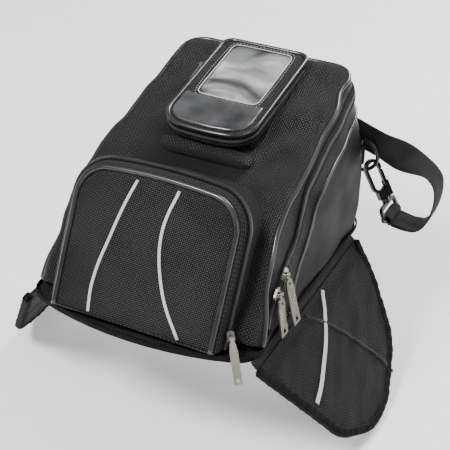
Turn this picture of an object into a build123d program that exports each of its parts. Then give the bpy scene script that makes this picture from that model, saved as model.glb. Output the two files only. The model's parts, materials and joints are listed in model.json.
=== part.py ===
"""A motorcycle tank bag: zipped main compartment, front pocket, phone pocket, magnetic flaps and strap.

The frame has +X to the bag's right, +Y to its rear and +Z up, in millimetres. The origin is the middle
of the base's underside, where the bag rests on the tank. The flaps hang below it on both sides.
"""

from build123d import *
from math import atan2, cos, degrees, radians, sin, sqrt
import os

os.makedirs("parts", exist_ok=True)

# Main body, a wedge that is low at the front and leans in at the sides
HALF_WIDTH = 114.0
SIDE_LEAN = 8.64
FRONT_Y = -128.0
SHOULDER = (-72.9, 93.6)
CREST = (141.0, 158.8)
BACK = (147.0, 70.0)
REAR_FOOT = (116.0, 0.0)
SHOULDER_RADIUS = 80.0
CREST_RADIUS = 18.0
BACK_RADIUS = 120.0
PLAN_REAR_Y = 168.0
PLAN_CORNER = 52.0
WALL = 3.5
FOOT_HEIGHT = 7.4
FOOT_FLARE = 24.0

# Base, which reaches forward under the front pocket
BASE_THICK = 3.0
BASE_NOSE_Y = -160.0
BASE_REAR_Y = 119.5
BASE_CORNER_Y = -140.0
BASE_FRONT_RADIUS = 40.0
BASE_REAR_RADIUS = 30.0
BINDING_THICK = 1.8
BINDING_HEIGHT = 7.0
BINDING_GAP = 0.3
FLOOR_GAP = 0.3
LID_FLOOR = 8.0
BOARD_SIZE = (196.0, 196.0)
BOARD_THICK = 2.0
BOARD_Y = -10.0

# Lines across the side wall, as (y, z) points from front to rear
ZIP_LINE = [(-122, 8), (-64, 55), (-44, 62), (-14, 96), (37, 112), (99, 127), (170, 142)]
PANEL_LINE = [(-74, 0), (-35, 38), (-11, 62), (4, 79), (29, 89), (91, 101), (170, 124)]
SPLIT_GAP = 0.4
TAPE_WIDTH = 5.0
TAPE_PROUD = 1.2
PIPING_RADIUS = 2.0
SEAM_INNER_X = 60.0

# Front pocket, on a plane that leans back with the front panel
POCKET_LEAN = 0.55
POCKET_HALF_WIDTH = 82.0
POCKET_SHOULDER = 143.0
POCKET_CROWN = 149.0
POCKET_CORNER = 32.0
POCKET_FLARE = 5.0
COVER_DEPTH = 9.0
POCKET_GUSSET_DEPTH = 12.0
POCKET_REACH = 85.0
POCKET_BACK_Y = -42.0
STRIPE_WIDTH = 3.2
STRIPE_THICK = 0.6
POCKET_STRIPE_LEFT = [(-22, 140), (-34, 92), (-44, 46), (-44, 14)]
POCKET_STRIPE_RIGHT = [(19, 140), (13, 98), (24, 54), (47, 14)]

# Phone pocket, a tray with a windowed cover that hinges at its rear
PHONE_FRONT_Y = -15.0
PHONE_RIM_Z = 139.9
PHONE_SLOPE = 0.17
PHONE_HALF_WIDTH = 45.0
PHONE_LENGTH = 143.0
PHONE_FRONT_RADIUS = 25.0
PHONE_REAR_RADIUS = 10.0
PHONE_SKIRT = 5.0
PHONE_PLATE = 2.4
WINDOW_HALF_WIDTH = 32.0
WINDOW_START = 50.0
WINDOW_END = 136.0
WINDOW_THICK = 0.8
PATCH_THICK = 0.8
PHONE_BOW = 5.0
PHONE_WALL = 3.0
PHONE_REACH = 45.0
TRAY_FRONT_DEPTH = 15.0
TRAY_STEP_Y = -1.0
PHONE_ZIP_END_Y = 112.0

# Padded grab strip
STRIP_X = 3.0
STRIP_Y = -11.0
STRIP_SIZE = (90.0, 14.0, 8.0)

# Flaps, which hang from the base's sides, as (out, back) points in the flap's own plane
FLAP_HINGE_X = 117.5
FLAP_HINGE_Z = -3.0
FLAP_DROP = 57.7
FLAP_ROOT = [(2, -144), (2, 88)]
FLAP_CORNERS = [((118, -88), 40), ((145, -42), 60), ((142, 0), 60), ((106, 61), 60), ((42, 84), 60)]
FLAP_ROOT_END = 14.0
FLAP_ROOT_THICK = 3.0
FLAP_SKIN = 3.0
FLAP_TAPE = 5.0
FLAP_TAPE_THICK = 7.2
MAGNET_LID = 0.1
MAGNET_RADIUS = 14.0
MAGNET_THICK = 2.0
MAGNET_PLACES = [(78, -52), (98, 12)]
FLAP_STRIPE = [(17, -6), (28, -17), (47, -37), (62, -63), (76, -92)]
FLAP_STRIPE_WIDTH = 5.0

# Zip sliders and pulls
PIN_RADIUS = 0.8
PIN_FIT = 0.06
EYELET_RADIUS = 1.7
EYELET_WIDTH = 3.0
LUG_THICK = 1.2
LUG_GAP = 0.2
SLIDER_THICK = 2.2
PULL_THICK = 1.4
SLIDER_LIFT = 3.0
DECK_GAP = 0.35
MAIN_SLIDERS = [("main_upper", (-71, 49), 15, 48), ("main_lower", (-88, 39), SIDE_LEAN, 41)]
MAIN_PULL_TILT = -4.0
MAIN_SLIDER_SIZE = (13.0, 9.5)
MAIN_PULL_WIDTH = 13.0
POCKET_PIN = (93.4, -140.6, 22.0)
POCKET_PIN_LINE = (0.742, 0.67, 0)
POCKET_PULL_LINE = (0.38, -0.42, -0.82)
POCKET_PULL_LENGTH = 41.0
POCKET_PULL_WIDTH = 7.5
PHONE_PIN = (-51.0, 82.0, 151.5)
PHONE_PULL_DIP = 18.0
PHONE_PULL_LENGTH = 29.0
PHONE_PULL_WIDTH = 6.0
SMALL_SLIDER_SIZE = (6.5, 11.0)

# Strap hardware at the right rear corner
RING_BAR_X = 97.0
HARDWARE_Y = 148.0
RING_Z = 56.0
RING_RADIUS = 18.0
RING_WIRE = 2.0
TAB_HALF_HEIGHT = 11.0
TAB_END_X = 56.0
TAB_PAD = 14.0
TAB_DEPTH = 9.0
WEB_THICK = 2.0
HOOK_TOP = (107.5, 48.0)
HOOK_TILT = 26.6
HOOK_TURN = 60.0
HOOK_INNER = 6.2
HOOK_ARM = 3.5
HOOK_SLOT_END = 25.0
HOOK_BASE = (32.0, 41.0)
HOOK_THICK = 4.0
HOOK_CHEEK = 1.1
GATE_TIP = 11.0
GATE_PIN = 27.5
EYE_START = 44.0
EYE_BAR = 60.5
EYE_WIRE = 3.4
EYE_HALF_WIDTH = 15.6

# Strap, a flat web: across the back, round the right side and back to the hook's eye
STRAP_WIDTH = 30.0
STRAP_THICK = 2.4
STRAP_Y = 152.8
STRAP_UPPER = [(-66, 87), (56, 87), (118, 67.5), (160, 54), (178.8, 54)]
STRAP_LOWER = [(134.2, -9.9), (166, -15), (186, 8), (180, 34), (180, 65)]
STRAP_LOWER_RADII = [14, 18, 20]
ANCHOR_X = (-66.0, -48.0)
ADJUSTER_X = 10.0
ADJUSTER_WALL = 2.0

LEAN_SLOPE = sin(radians(SIDE_LEAN)) / cos(radians(SIDE_LEAN))
FAR = 220.0


def side_x(z):
    """Half the body's width at height z."""
    return HALF_WIDTH - LEAN_SLOPE * z


def save(part, name):
    part.label = name
    export_step(part, f"parts/{name}.step")


# ---------------------------------------------------------------- main form

def base_face(grow=0.0):
    """The base's plan, bowed forward at the front."""
    with BuildSketch() as face:
        with BuildLine():
            Polyline(
                (-HALF_WIDTH, BASE_CORNER_Y),
                (-HALF_WIDTH, BASE_REAR_Y),
                (HALF_WIDTH, BASE_REAR_Y),
                (HALF_WIDTH, BASE_CORNER_Y),
            )
            ThreePointArc((HALF_WIDTH, BASE_CORNER_Y), (0, BASE_NOSE_Y), (-HALF_WIDTH, BASE_CORNER_Y))
        make_face()
        fillet(face.vertices().group_by(Axis.Y)[0], BASE_FRONT_RADIUS)
        fillet(face.vertices().group_by(Axis.Y)[-1], BASE_REAR_RADIUS)
        if grow:
            offset(amount=grow, mode=Mode.REPLACE)
    return face.sketch


def foot_block(inset):
    """Straight up from the base's plan as far as the binding's top, then flaring outward."""
    with BuildPart() as block:
        with BuildSketch():
            add(base_face(-inset))
        extrude(amount=FOOT_HEIGHT)
        with BuildSketch(Plane.XY.offset(FOOT_HEIGHT)):
            add(base_face(-inset))
        extrude(amount=FAR, taper=-FOOT_FLARE)
    return block.part


def plan_block(inset):
    """The leaning side walls and rounded rear corners, far taller and longer than the body."""
    half = HALF_WIDTH - inset
    rear = PLAN_REAR_Y - inset
    with BuildPart() as block:
        with BuildSketch(Plane.XY) as plan:
            with BuildLine():
                Polyline((half, -FAR), (half, rear), (-half, rear), (-half, -FAR), close=True)
            make_face()
            fillet(plan.vertices().group_by(Axis.Y)[-1], PLAN_CORNER - inset)
        extrude(amount=FAR, taper=SIDE_LEAN)
        add(foot_block(inset), mode=Mode.INTERSECT)
    return block.part


def profile_block(inset):
    """The body's outline from the side, as wide as the whole space."""
    with BuildPart() as block:
        with BuildSketch(Plane.YZ) as side:
            with BuildLine():
                Polyline((FRONT_Y, 0), SHOULDER, CREST, BACK, REAR_FOOT, close=True)
            make_face()
            for corner, radius in ((SHOULDER, SHOULDER_RADIUS), (CREST, CREST_RADIUS), (BACK, BACK_RADIUS)):
                fillet(side.vertices().sort_by_distance((*corner, 0))[0], radius)
            if inset:
                offset(amount=-inset, mode=Mode.REPLACE)
        extrude(amount=FAR, both=True)
    return block.part


def region(points):
    """Everything inside a side-view polygon, right across the bag."""
    with BuildPart() as block:
        with BuildSketch(Plane.YZ):
            with BuildLine():
                Polyline(*points, close=True)
            make_face()
        extrude(amount=FAR, both=True)
    return block.part


def raised(points, rise):
    return [(y, z + rise) for y, z in points]


plan_outer = plan_block(0)
plan_inner = plan_block(WALL)
profile_outer = profile_block(0)
profile_inner = profile_block(WALL)
zip_front, zip_rear = ZIP_LINE[0], ZIP_LINE[-1]
ABOVE_BASE_Z = BASE_THICK + FLOOR_GAP
above_zip = region(
    [(-FAR, LID_FLOOR + SPLIT_GAP)]
    + raised(ZIP_LINE, SPLIT_GAP)
    + [(FAR, zip_rear[1]), (FAR, FAR), (-FAR, FAR)]
)
below_zip = region(
    raised(ZIP_LINE, -SPLIT_GAP)
    + [(zip_rear[0], ABOVE_BASE_Z), (zip_front[0] + 5, ABOVE_BASE_Z)]
)
below_panel = region(PANEL_LINE + [(170, -1), (-74, -1)])
behind_crest = region([(138, 0), (FAR, 0), (FAR, FAR), (138, FAR)])
behind_middle = region([(100, 0), (FAR, 0), (FAR, FAR), (100, FAR)])
above_binding = region([(-FAR, 16), (FAR, 16), (FAR, FAR), (-FAR, FAR)])
above_base = region([(-FAR, ABOVE_BASE_Z), (FAR, ABOVE_BASE_Z), (FAR, FAR), (-FAR, FAR)])

with BuildPart() as body_solid:
    add(plan_outer)
    add(profile_outer, mode=Mode.INTERSECT)

with BuildPart() as side_walls:
    add(plan_outer)
    add(plan_inner, mode=Mode.SUBTRACT)
    add(profile_outer, mode=Mode.INTERSECT)

with BuildPart() as wrap:
    add(profile_outer)
    add(profile_inner, mode=Mode.SUBTRACT)
    add(plan_inner, mode=Mode.INTERSECT)

# Top panel, one sheet up the front and over the top
with BuildPart() as top_panel:
    add(wrap.part)
    add(above_zip, mode=Mode.INTERSECT)
    add(behind_crest, mode=Mode.SUBTRACT)
save(top_panel.part, "top_panel")

with BuildPart() as lid_rear_band:
    add(wrap.part)
    add(above_zip, mode=Mode.INTERSECT)
    add(behind_crest, mode=Mode.INTERSECT)
save(lid_rear_band.part, "lid_rear_band")

with BuildPart() as rear_panel:
    add(wrap.part)
    add(below_zip, mode=Mode.INTERSECT)
    add(behind_middle, mode=Mode.INTERSECT)
save(rear_panel.part, "rear_panel")

for side, sign in (("right", 1), ("left", -1)):
    with BuildPart() as half_space:
        with BuildSketch(Plane.YZ):
            Rectangle(2 * FAR, 2 * FAR)
        extrude(amount=sign * FAR)

    # Lid gusset, between the top panel's piping and the zip
    with BuildPart() as lid_gusset:
        add(side_walls.part)
        add(above_zip, mode=Mode.INTERSECT)
        add(half_space.part, mode=Mode.INTERSECT)
    save(lid_gusset.part, f"{side}_lid_gusset")

    # Lower gusset, between the zip and the smooth side panel
    with BuildPart() as lower_gusset:
        add(side_walls.part)
        add(below_zip, mode=Mode.INTERSECT)
        add(below_panel, mode=Mode.SUBTRACT)
        add(half_space.part, mode=Mode.INTERSECT)
    save(lower_gusset.part, f"{side}_lower_gusset")

    with BuildPart() as side_panel:
        add(side_walls.part)
        add(below_panel, mode=Mode.INTERSECT)
        add(above_base, mode=Mode.INTERSECT)
        add(half_space.part, mode=Mode.INTERSECT)
    save(side_panel.part, f"{side}_side_panel")

# ---------------------------------------------------------------- main zip

with BuildPart() as proud_skin:
    add(plan_block(-TAPE_PROUD))
    add(profile_block(-TAPE_PROUD), mode=Mode.INTERSECT)
    add(body_solid.part, mode=Mode.SUBTRACT)

TAPE_LINE = [(-112, 16)] + ZIP_LINE[1:]
upper_tape = region(raised(TAPE_LINE, SPLIT_GAP) + raised(TAPE_LINE, TAPE_WIDTH)[::-1])
lower_tape = region(raised(TAPE_LINE, -TAPE_WIDTH) + raised(TAPE_LINE, -SPLIT_GAP)[::-1])

with BuildPart() as main_zip_upper:
    add(proud_skin.part)
    add(upper_tape, mode=Mode.INTERSECT)
save(main_zip_upper.part, "main_zip_upper")

with BuildPart() as main_zip_lower:
    add(proud_skin.part)
    add(lower_tape, mode=Mode.INTERSECT)
save(main_zip_lower.part, "main_zip_lower")

# ---------------------------------------------------------------- piping


def side_plane(sign):
    """The leaning side wall's plane: x runs to the rear, y up the wall, z outward."""
    lean = radians(SIDE_LEAN)
    return Plane(
        origin=(sign * HALF_WIDTH, 0, 0),
        x_dir=(0, sign, 0),
        z_dir=(sign * cos(lean), 0, sin(lean)),
    )


def on_side(sign, points):
    """Side-view (y, z) points as points in the side wall's own plane."""
    stretch = 1 / cos(radians(SIDE_LEAN))
    return [(sign * y, z * stretch) for y, z in points]


with BuildPart() as edge_zone:
    add(plan_block(-TAPE_PROUD))
    add(profile_block(-TAPE_PROUD), mode=Mode.INTERSECT)
    add(plan_block(PIPING_RADIUS), mode=Mode.SUBTRACT)
    add(profile_block(PIPING_RADIUS), mode=Mode.SUBTRACT)
    add(body_solid.part, mode=Mode.SUBTRACT)
    add(above_zip, mode=Mode.INTERSECT)
    add(above_binding, mode=Mode.INTERSECT)
    add(upper_tape, mode=Mode.SUBTRACT)

SEAM_LINE = [(-65, 10)] + PANEL_LINE[1:]
seam_band = region(raised(SEAM_LINE, -PIPING_RADIUS) + raised(SEAM_LINE, PIPING_RADIUS)[::-1])
for side, sign in (("right", 1), ("left", -1)):
    with BuildPart() as beside:
        with Locations((sign * (SEAM_INNER_X + FAR / 2), -FAR / 2, FAR / 2)):
            Box(FAR, 3 * FAR, FAR)

    with BuildPart() as top_piping:
        add(edge_zone.part)
        add(beside.part, mode=Mode.INTERSECT)
    save(top_piping.part, f"{side}_top_piping")

    with BuildPart() as panel_piping:
        add(proud_skin.part)
        add(seam_band, mode=Mode.INTERSECT)
        add(beside.part, mode=Mode.INTERSECT)
    save(panel_piping.part, f"{side}_panel_piping")

# ---------------------------------------------------------------- base


with BuildPart() as base_panel:
    with BuildSketch():
        add(base_face())
    extrude(amount=BASE_THICK)
save(base_panel.part, "base_panel")

with BuildPart() as base_binding:
    with BuildSketch():
        add(base_face(BINDING_THICK + BINDING_GAP))
        add(base_face(BINDING_GAP), mode=Mode.SUBTRACT)
    extrude(amount=BINDING_HEIGHT)
save(base_binding.part, "base_binding")

# Stiff board that keeps the floor flat, laid inside on the base panel
with BuildPart() as base_board:
    with BuildSketch(Plane.XY.offset(BASE_THICK + FLOOR_GAP)):
        with Locations((0, BOARD_Y)):
            RectangleRounded(BOARD_SIZE[0], BOARD_SIZE[1], 20)
    extrude(amount=BOARD_THICK)
save(base_board.part, "base_board")

# ---------------------------------------------------------------- front pocket

face_run = sqrt(1 + POCKET_LEAN**2)
pocket_out = (0, -1 / face_run, POCKET_LEAN / face_run)
pocket_plane = Plane(origin=(0, BASE_NOSE_Y, 0), x_dir=(1, 0, 0), z_dir=pocket_out)
POCKET_FLOOR = LID_FLOOR + 1
above_pocket_floor = region([(-FAR, POCKET_FLOOR), (FAR, POCKET_FLOOR), (FAR, FAR), (-FAR, FAR)])
above_pocket_lining = region(
    [(-FAR, POCKET_FLOOR + WALL), (FAR, POCKET_FLOOR + WALL), (FAR, FAR), (-FAR, FAR)]
)
before_pocket_back = region([(-FAR, -1), (-FAR, FAR), (POCKET_BACK_Y, FAR), (POCKET_BACK_Y, -1)])


def pocket_outline(grow):
    """The pocket's front outline with an arched top, running on below its foot."""
    half = POCKET_HALF_WIDTH + grow
    shoulder = POCKET_SHOULDER + grow
    with BuildSketch() as face:
        with BuildLine():
            Polyline((-half, shoulder), (-half, -60), (half, -60), (half, shoulder))
            ThreePointArc((half, shoulder), (0, POCKET_CROWN + grow), (-half, shoulder))
        make_face()
        fillet(face.vertices().group_by(Axis.Y)[-1], POCKET_CORNER + grow)
    return face.sketch


def pocket_slab(grow, near, far, floor):
    """The pocket's outline between two depths behind its face, cut level at a floor."""
    with BuildPart() as slab:
        with BuildSketch(pocket_plane.offset(-near)):
            add(pocket_outline(grow))
        extrude(amount=near - far)
        add(floor, mode=Mode.INTERSECT)
    return slab.part


with BuildPart() as pocket_gusset:
    add(pocket_slab(POCKET_FLARE, POCKET_GUSSET_DEPTH, POCKET_REACH, above_pocket_floor))
    add(pocket_slab(POCKET_FLARE - WALL, COVER_DEPTH, POCKET_REACH, above_pocket_lining), mode=Mode.SUBTRACT)
    add(body_solid.part, mode=Mode.SUBTRACT)
    add(before_pocket_back, mode=Mode.INTERSECT)
save(pocket_gusset.part, "pocket_gusset")

with BuildPart() as pocket_zip:
    add(pocket_slab(POCKET_FLARE + 1.5, COVER_DEPTH + SPLIT_GAP, POCKET_GUSSET_DEPTH, above_pocket_floor))
    add(pocket_slab(POCKET_FLARE - WALL, 0, POCKET_REACH, above_pocket_floor), mode=Mode.SUBTRACT)
save(pocket_zip.part, "pocket_zip")

# The pocket's front, a shallow pan with flared sides that opens down about its foot
with BuildPart() as pocket_cover:
    with BuildSketch(pocket_plane.offset(-COVER_DEPTH)):
        add(pocket_outline(POCKET_FLARE))
    extrude(amount=COVER_DEPTH, taper=degrees(atan2(POCKET_FLARE, COVER_DEPTH)))
    add(above_pocket_floor, mode=Mode.INTERSECT)
    add(pocket_slab(-WALL, WALL, COVER_DEPTH, above_pocket_lining), mode=Mode.SUBTRACT)
save(pocket_cover.part, "pocket_cover")

with BuildPart() as pocket_piping:
    with BuildSketch(pocket_plane):
        add(pocket_outline(0))
        add(pocket_outline(-2 * PIPING_RADIUS), mode=Mode.SUBTRACT)
    extrude(amount=PIPING_RADIUS)
    add(above_pocket_floor, mode=Mode.INTERSECT)
save(pocket_piping.part, "pocket_piping")

for side, points in (("left", POCKET_STRIPE_LEFT), ("right", POCKET_STRIPE_RIGHT)):
    with BuildPart() as stripe:
        with BuildSketch(pocket_plane):
            with BuildLine() as course:
                Spline(*points)
            trace(line_width=STRIPE_WIDTH)
        extrude(amount=STRIPE_THICK)
    save(stripe.part, f"pocket_stripe_{side}")

# ---------------------------------------------------------------- phone pocket

phone_run = sqrt(1 + PHONE_SLOPE**2)
phone_up = (0, -PHONE_SLOPE / phone_run, 1 / phone_run)
phone_plane = Plane(origin=(0, PHONE_FRONT_Y, PHONE_RIM_Z), x_dir=(1, 0, 0), z_dir=phone_up)


def phone_outline(grow):
    """The phone pocket's plan: a bowed front with large corners and a straight rear with small ones."""
    half = PHONE_HALF_WIDTH + grow
    front = -grow
    shoulder = PHONE_BOW - grow
    rear = PHONE_LENGTH + grow
    with BuildSketch() as face:
        with BuildLine():
            Polyline((-half, shoulder), (-half, rear), (half, rear), (half, shoulder))
            ThreePointArc((half, shoulder), (0, front), (-half, shoulder))
        make_face()
        fillet(face.vertices().group_by(Axis.Y)[0], PHONE_FRONT_RADIUS + grow)
        fillet(face.vertices().group_by(Axis.Y)[-1], PHONE_REAR_RADIUS + grow)
    return face.sketch


def phone_slab(grow, near, far):
    """The phone pocket's plan between two depths under its rim."""
    with BuildPart() as slab:
        with BuildSketch(phone_plane.offset(-near)):
            add(phone_outline(grow))
        extrude(amount=near - far)
    return slab.part


def tray_zone(depth, step_y):
    """What lies above the tray's raised front floor or behind its step down to the top panel."""
    near_y = -60
    near_z = PHONE_RIM_Z + PHONE_SLOPE * (near_y - PHONE_FRONT_Y) - depth * phone_run
    step_z = PHONE_RIM_Z + PHONE_SLOPE * (step_y - PHONE_FRONT_Y) - depth * phone_run
    return region([(near_y, near_z), (step_y, step_z), (step_y, 60), (FAR, 60), (FAR, FAR), (near_y, FAR)])


with BuildPart() as tray_room:
    add(phone_slab(-PHONE_WALL, PHONE_SKIRT, PHONE_REACH))
    add(tray_zone(TRAY_FRONT_DEPTH - PHONE_WALL, TRAY_STEP_Y + PHONE_WALL), mode=Mode.INTERSECT)

with BuildPart() as phone_tray:
    add(phone_slab(0, PHONE_SKIRT + SPLIT_GAP, PHONE_REACH))
    add(tray_zone(TRAY_FRONT_DEPTH, TRAY_STEP_Y), mode=Mode.INTERSECT)
    add(tray_room.part, mode=Mode.SUBTRACT)
    add(body_solid.part, mode=Mode.SUBTRACT)
save(phone_tray.part, "phone_tray")

with BuildPart() as phone_zip:
    add(phone_slab(TAPE_PROUD, PHONE_SKIRT + SPLIT_GAP, PHONE_SKIRT + SPLIT_GAP + 3))
    add(phone_slab(0, 0, PHONE_REACH), mode=Mode.SUBTRACT)
    add(region([(-FAR, -1), (-FAR, FAR), (PHONE_ZIP_END_Y, FAR), (PHONE_ZIP_END_Y, -1)]), mode=Mode.INTERSECT)
save(phone_zip.part, "phone_zip")

with BuildPart() as phone_cover:
    add(phone_slab(0, 0, PHONE_SKIRT))
    add(phone_slab(-PHONE_WALL, PHONE_PLATE, PHONE_SKIRT), mode=Mode.SUBTRACT)
    with BuildSketch(phone_plane):
        with Locations((0, (WINDOW_START + WINDOW_END) / 2)):
            RectangleRounded(2 * WINDOW_HALF_WIDTH, WINDOW_END - WINDOW_START, 3)
    extrude(amount=-PHONE_PLATE, mode=Mode.SUBTRACT)
save(phone_cover.part, "phone_cover")

with BuildPart() as phone_window:
    with BuildSketch(phone_plane.offset(-PHONE_PLATE)):
        with Locations((0, (WINDOW_START + WINDOW_END) / 2)):
            RectangleRounded(2 * (WINDOW_HALF_WIDTH + 3), WINDOW_END - WINDOW_START + 6, 3)
    extrude(amount=-WINDOW_THICK)
save(phone_window.part, "phone_window")

# Smooth coated patch in front of the window
with BuildPart() as phone_patch:
    with BuildSketch(phone_plane):
        add(phone_outline(-4))
        with Locations((0, WINDOW_START - 2 + FAR / 2)):
            Rectangle(FAR, FAR, mode=Mode.SUBTRACT)
    extrude(amount=PATCH_THICK)
save(phone_patch.part, "phone_patch")

with BuildPart() as phone_piping:
    add(phone_slab(TAPE_PROUD, -PATCH_THICK, 2.5))
    add(phone_slab(0, -2, PHONE_REACH), mode=Mode.SUBTRACT)
save(phone_piping.part, "phone_piping")

# Padded grab strip in front of the phone pocket, sewn to the top panel
top_slope = (CREST[1] - SHOULDER[1]) / (CREST[0] - SHOULDER[0])
top_run = sqrt(1 + top_slope**2)
strip_z = SHOULDER[1] + top_slope * (STRIP_Y - SHOULDER[0])
strip_plane = Plane(
    origin=(0, STRIP_Y, strip_z), x_dir=(1, 0, 0), z_dir=(0, -top_slope / top_run, 1 / top_run)
)
with BuildPart() as grab_strip:
    with BuildSketch(strip_plane):
        with Locations((STRIP_X, 0)):
            RectangleRounded(STRIP_SIZE[0], STRIP_SIZE[1], 6)
    extrude(amount=STRIP_SIZE[2])
    fillet(grab_strip.faces().sort_by(Axis.Z)[-1].edges(), 2.5)
save(grab_strip.part, "grab_strip")

# ---------------------------------------------------------------- flaps

drop = radians(FLAP_DROP)
flap_plane = Plane(
    origin=(FLAP_HINGE_X, 0, FLAP_HINGE_Z), x_dir=(cos(drop), 0, -sin(drop)), z_dir=(sin(drop), 0, cos(drop))
)


def flap_outline(inset):
    """The flap's outline in its own plane: straight at the root and rounded at its free end."""
    with BuildSketch() as face:
        with BuildLine():
            Polyline(FLAP_ROOT[0], *[corner for corner, _ in FLAP_CORNERS], FLAP_ROOT[1], close=True)
        make_face()
        for corner, radius in FLAP_CORNERS:
            fillet(face.vertices().sort_by_distance(corner)[0], radius)
        if inset:
            offset(amount=-inset, kind=Kind.INTERSECTION, mode=Mode.REPLACE)
    return face.sketch


# The flap thins to a single layer of cloth where it bends at its root
with BuildPart() as root_relief:
    for level, depth in ((FLAP_ROOT_THICK / 2, 10), (-FLAP_ROOT_THICK / 2, -10)):
        with BuildSketch(flap_plane.offset(level)):
            Rectangle(2 * FLAP_ROOT_END, 2 * FAR)
        extrude(amount=depth)

with BuildPart() as flap_shell:
    with BuildSketch(flap_plane.offset(MAGNET_LID)):
        add(flap_outline(FLAP_TAPE))
    extrude(amount=FLAP_SKIN)
    add(root_relief.part, mode=Mode.SUBTRACT)

with BuildPart() as flap_backing:
    with BuildSketch(flap_plane):
        add(flap_outline(FLAP_TAPE))
    extrude(amount=-FLAP_SKIN)
    with BuildSketch(flap_plane):
        with Locations(*MAGNET_PLACES):
            Circle(MAGNET_RADIUS + 0.3)
    extrude(amount=-MAGNET_THICK - 0.1, mode=Mode.SUBTRACT)
    add(root_relief.part, mode=Mode.SUBTRACT)

with BuildPart() as flap_binding:
    with BuildSketch(flap_plane.offset(-FLAP_TAPE_THICK / 2)):
        add(flap_outline(0))
        add(flap_outline(FLAP_TAPE - 0.02), mode=Mode.SUBTRACT)
    extrude(amount=FLAP_TAPE_THICK)
    add(root_relief.part, mode=Mode.SUBTRACT)

with BuildPart() as flap_stripe:
    with BuildSketch(flap_plane.offset(MAGNET_LID + FLAP_SKIN)):
        with BuildLine():
            Spline(*FLAP_STRIPE)
        trace(line_width=FLAP_STRIPE_WIDTH)
    extrude(amount=STRIPE_THICK)

magnets = []
for place in MAGNET_PLACES:
    with BuildPart() as magnet:
        with BuildSketch(flap_plane.offset(-MAGNET_THICK)):
            with Locations(place):
                Circle(MAGNET_RADIUS)
        extrude(amount=MAGNET_THICK)
    magnets.append(magnet)

flap_pieces = {
    "flap_shell": flap_shell,
    "flap_backing": flap_backing,
    "flap_binding": flap_binding,
    "flap_stripe": flap_stripe,
    "flap_magnet_front": magnets[0],
    "flap_magnet_rear": magnets[1],
}
for name, piece in flap_pieces.items():
    save(piece.part, f"right_{name}")
    with BuildPart() as mirrored:
        mirror(piece.part, about=Plane.YZ)
    save(mirrored.part, f"left_{name}")

# ---------------------------------------------------------------- zip sliders and pulls


def pin_section(plane):
    return Plane(origin=plane.origin, x_dir=plane.y_dir, z_dir=plane.x_dir)


def make_slider(plane, length, width, angle):
    """A slider under a pin at the plane's origin, with the pin along x and the cloth below."""
    lug_x = EYELET_WIDTH / 2 + LUG_GAP + LUG_THICK / 2
    deck = -EYELET_RADIUS - DECK_GAP
    with BuildPart() as slider:
        with BuildSketch(plane.offset(deck - SLIDER_THICK)):
            RectangleRounded(length, width, 0.3 * min(length, width), rotation=angle)
        extrude(amount=SLIDER_THICK)
        with BuildSketch(plane.offset(deck)):
            with Locations((-lug_x, 0), (lug_x, 0)):
                Rectangle(LUG_THICK, 3.6)
        extrude(amount=-deck + 1.4)
        with BuildSketch(pin_section(plane)):
            Circle(PIN_RADIUS)
        extrude(amount=lug_x, both=True)
    return slider.part


def make_pull(plane, length, tip_width, perforated):
    """A flat pull that hangs from an eyelet at the plane's origin towards minus y."""
    neck = -EYELET_RADIUS * 2
    with BuildPart() as pull:
        with BuildSketch(plane):
            with BuildLine():
                Polyline(
                    (-EYELET_WIDTH / 2, 0),
                    (-EYELET_WIDTH / 2, neck),
                    (-tip_width * 0.36, neck - 2),
                    (-tip_width / 2, neck - 9),
                    (-tip_width / 2, -length),
                    (tip_width / 2, -length),
                    (tip_width / 2, neck - 9),
                    (tip_width * 0.36, neck - 2),
                    (EYELET_WIDTH / 2, neck),
                    (EYELET_WIDTH / 2, 0),
                    close=True,
                )
            make_face()
            if perforated:
                with Locations((0, neck - 5)):
                    Circle(1.4, mode=Mode.SUBTRACT)
                with Locations((0, -length + 4.6)):
                    Triangle(a=6.6, b=6.6, c=6.6, mode=Mode.SUBTRACT)
                with Locations((0, -length / 2 - 1.5)):
                    with GridLocations(3.4, 3.0, 3, 7):
                        Circle(0.6, mode=Mode.SUBTRACT)
            else:
                with Locations((0, -length + 4)):
                    Circle(tip_width / 4, mode=Mode.SUBTRACT)
        extrude(amount=PULL_THICK / 2, both=True)
        across = pull.edges().filter_by(Axis(plane.origin, plane.z_dir))
        fillet(across.sort_by(Axis(plane.origin, plane.y_dir))[:2], 1.5)
        with BuildSketch(pin_section(plane)):
            Circle(EYELET_RADIUS)
        extrude(amount=EYELET_WIDTH / 2, both=True)
        with BuildSketch(pin_section(plane)):
            Circle(PIN_RADIUS + PIN_FIT)
        extrude(amount=EYELET_WIDTH, both=True, mode=Mode.SUBTRACT)
    return pull.part


right_wall = side_plane(1)
wall_out = right_wall.z_dir
zip_rise = (ZIP_LINE[1][1] - ZIP_LINE[0][1]) / cos(radians(SIDE_LEAN))
zip_angle = degrees(atan2(zip_rise, ZIP_LINE[1][0] - ZIP_LINE[0][0]))
tilt = radians(MAIN_PULL_TILT)
main_pin_line = right_wall.x_dir * cos(tilt) + right_wall.y_dir * sin(tilt)
pin_height = SLIDER_LIFT + SLIDER_THICK + EYELET_RADIUS + DECK_GAP
for name, (y, z), lean, length in MAIN_SLIDERS:
    foot = right_wall.from_local_coords(Vector(y, z / cos(radians(SIDE_LEAN)), pin_height))
    hung = wall_out.rotate(Axis((0, 0, 0), tuple(main_pin_line)), SIDE_LEAN - lean)
    slider_plane = Plane(foot, main_pin_line, wall_out)
    save(make_slider(slider_plane, *MAIN_SLIDER_SIZE, zip_angle - MAIN_PULL_TILT), f"{name}_slider")
    save(make_pull(Plane(foot, main_pin_line, hung), length, MAIN_PULL_WIDTH, True), f"{name}_pull")

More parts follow.
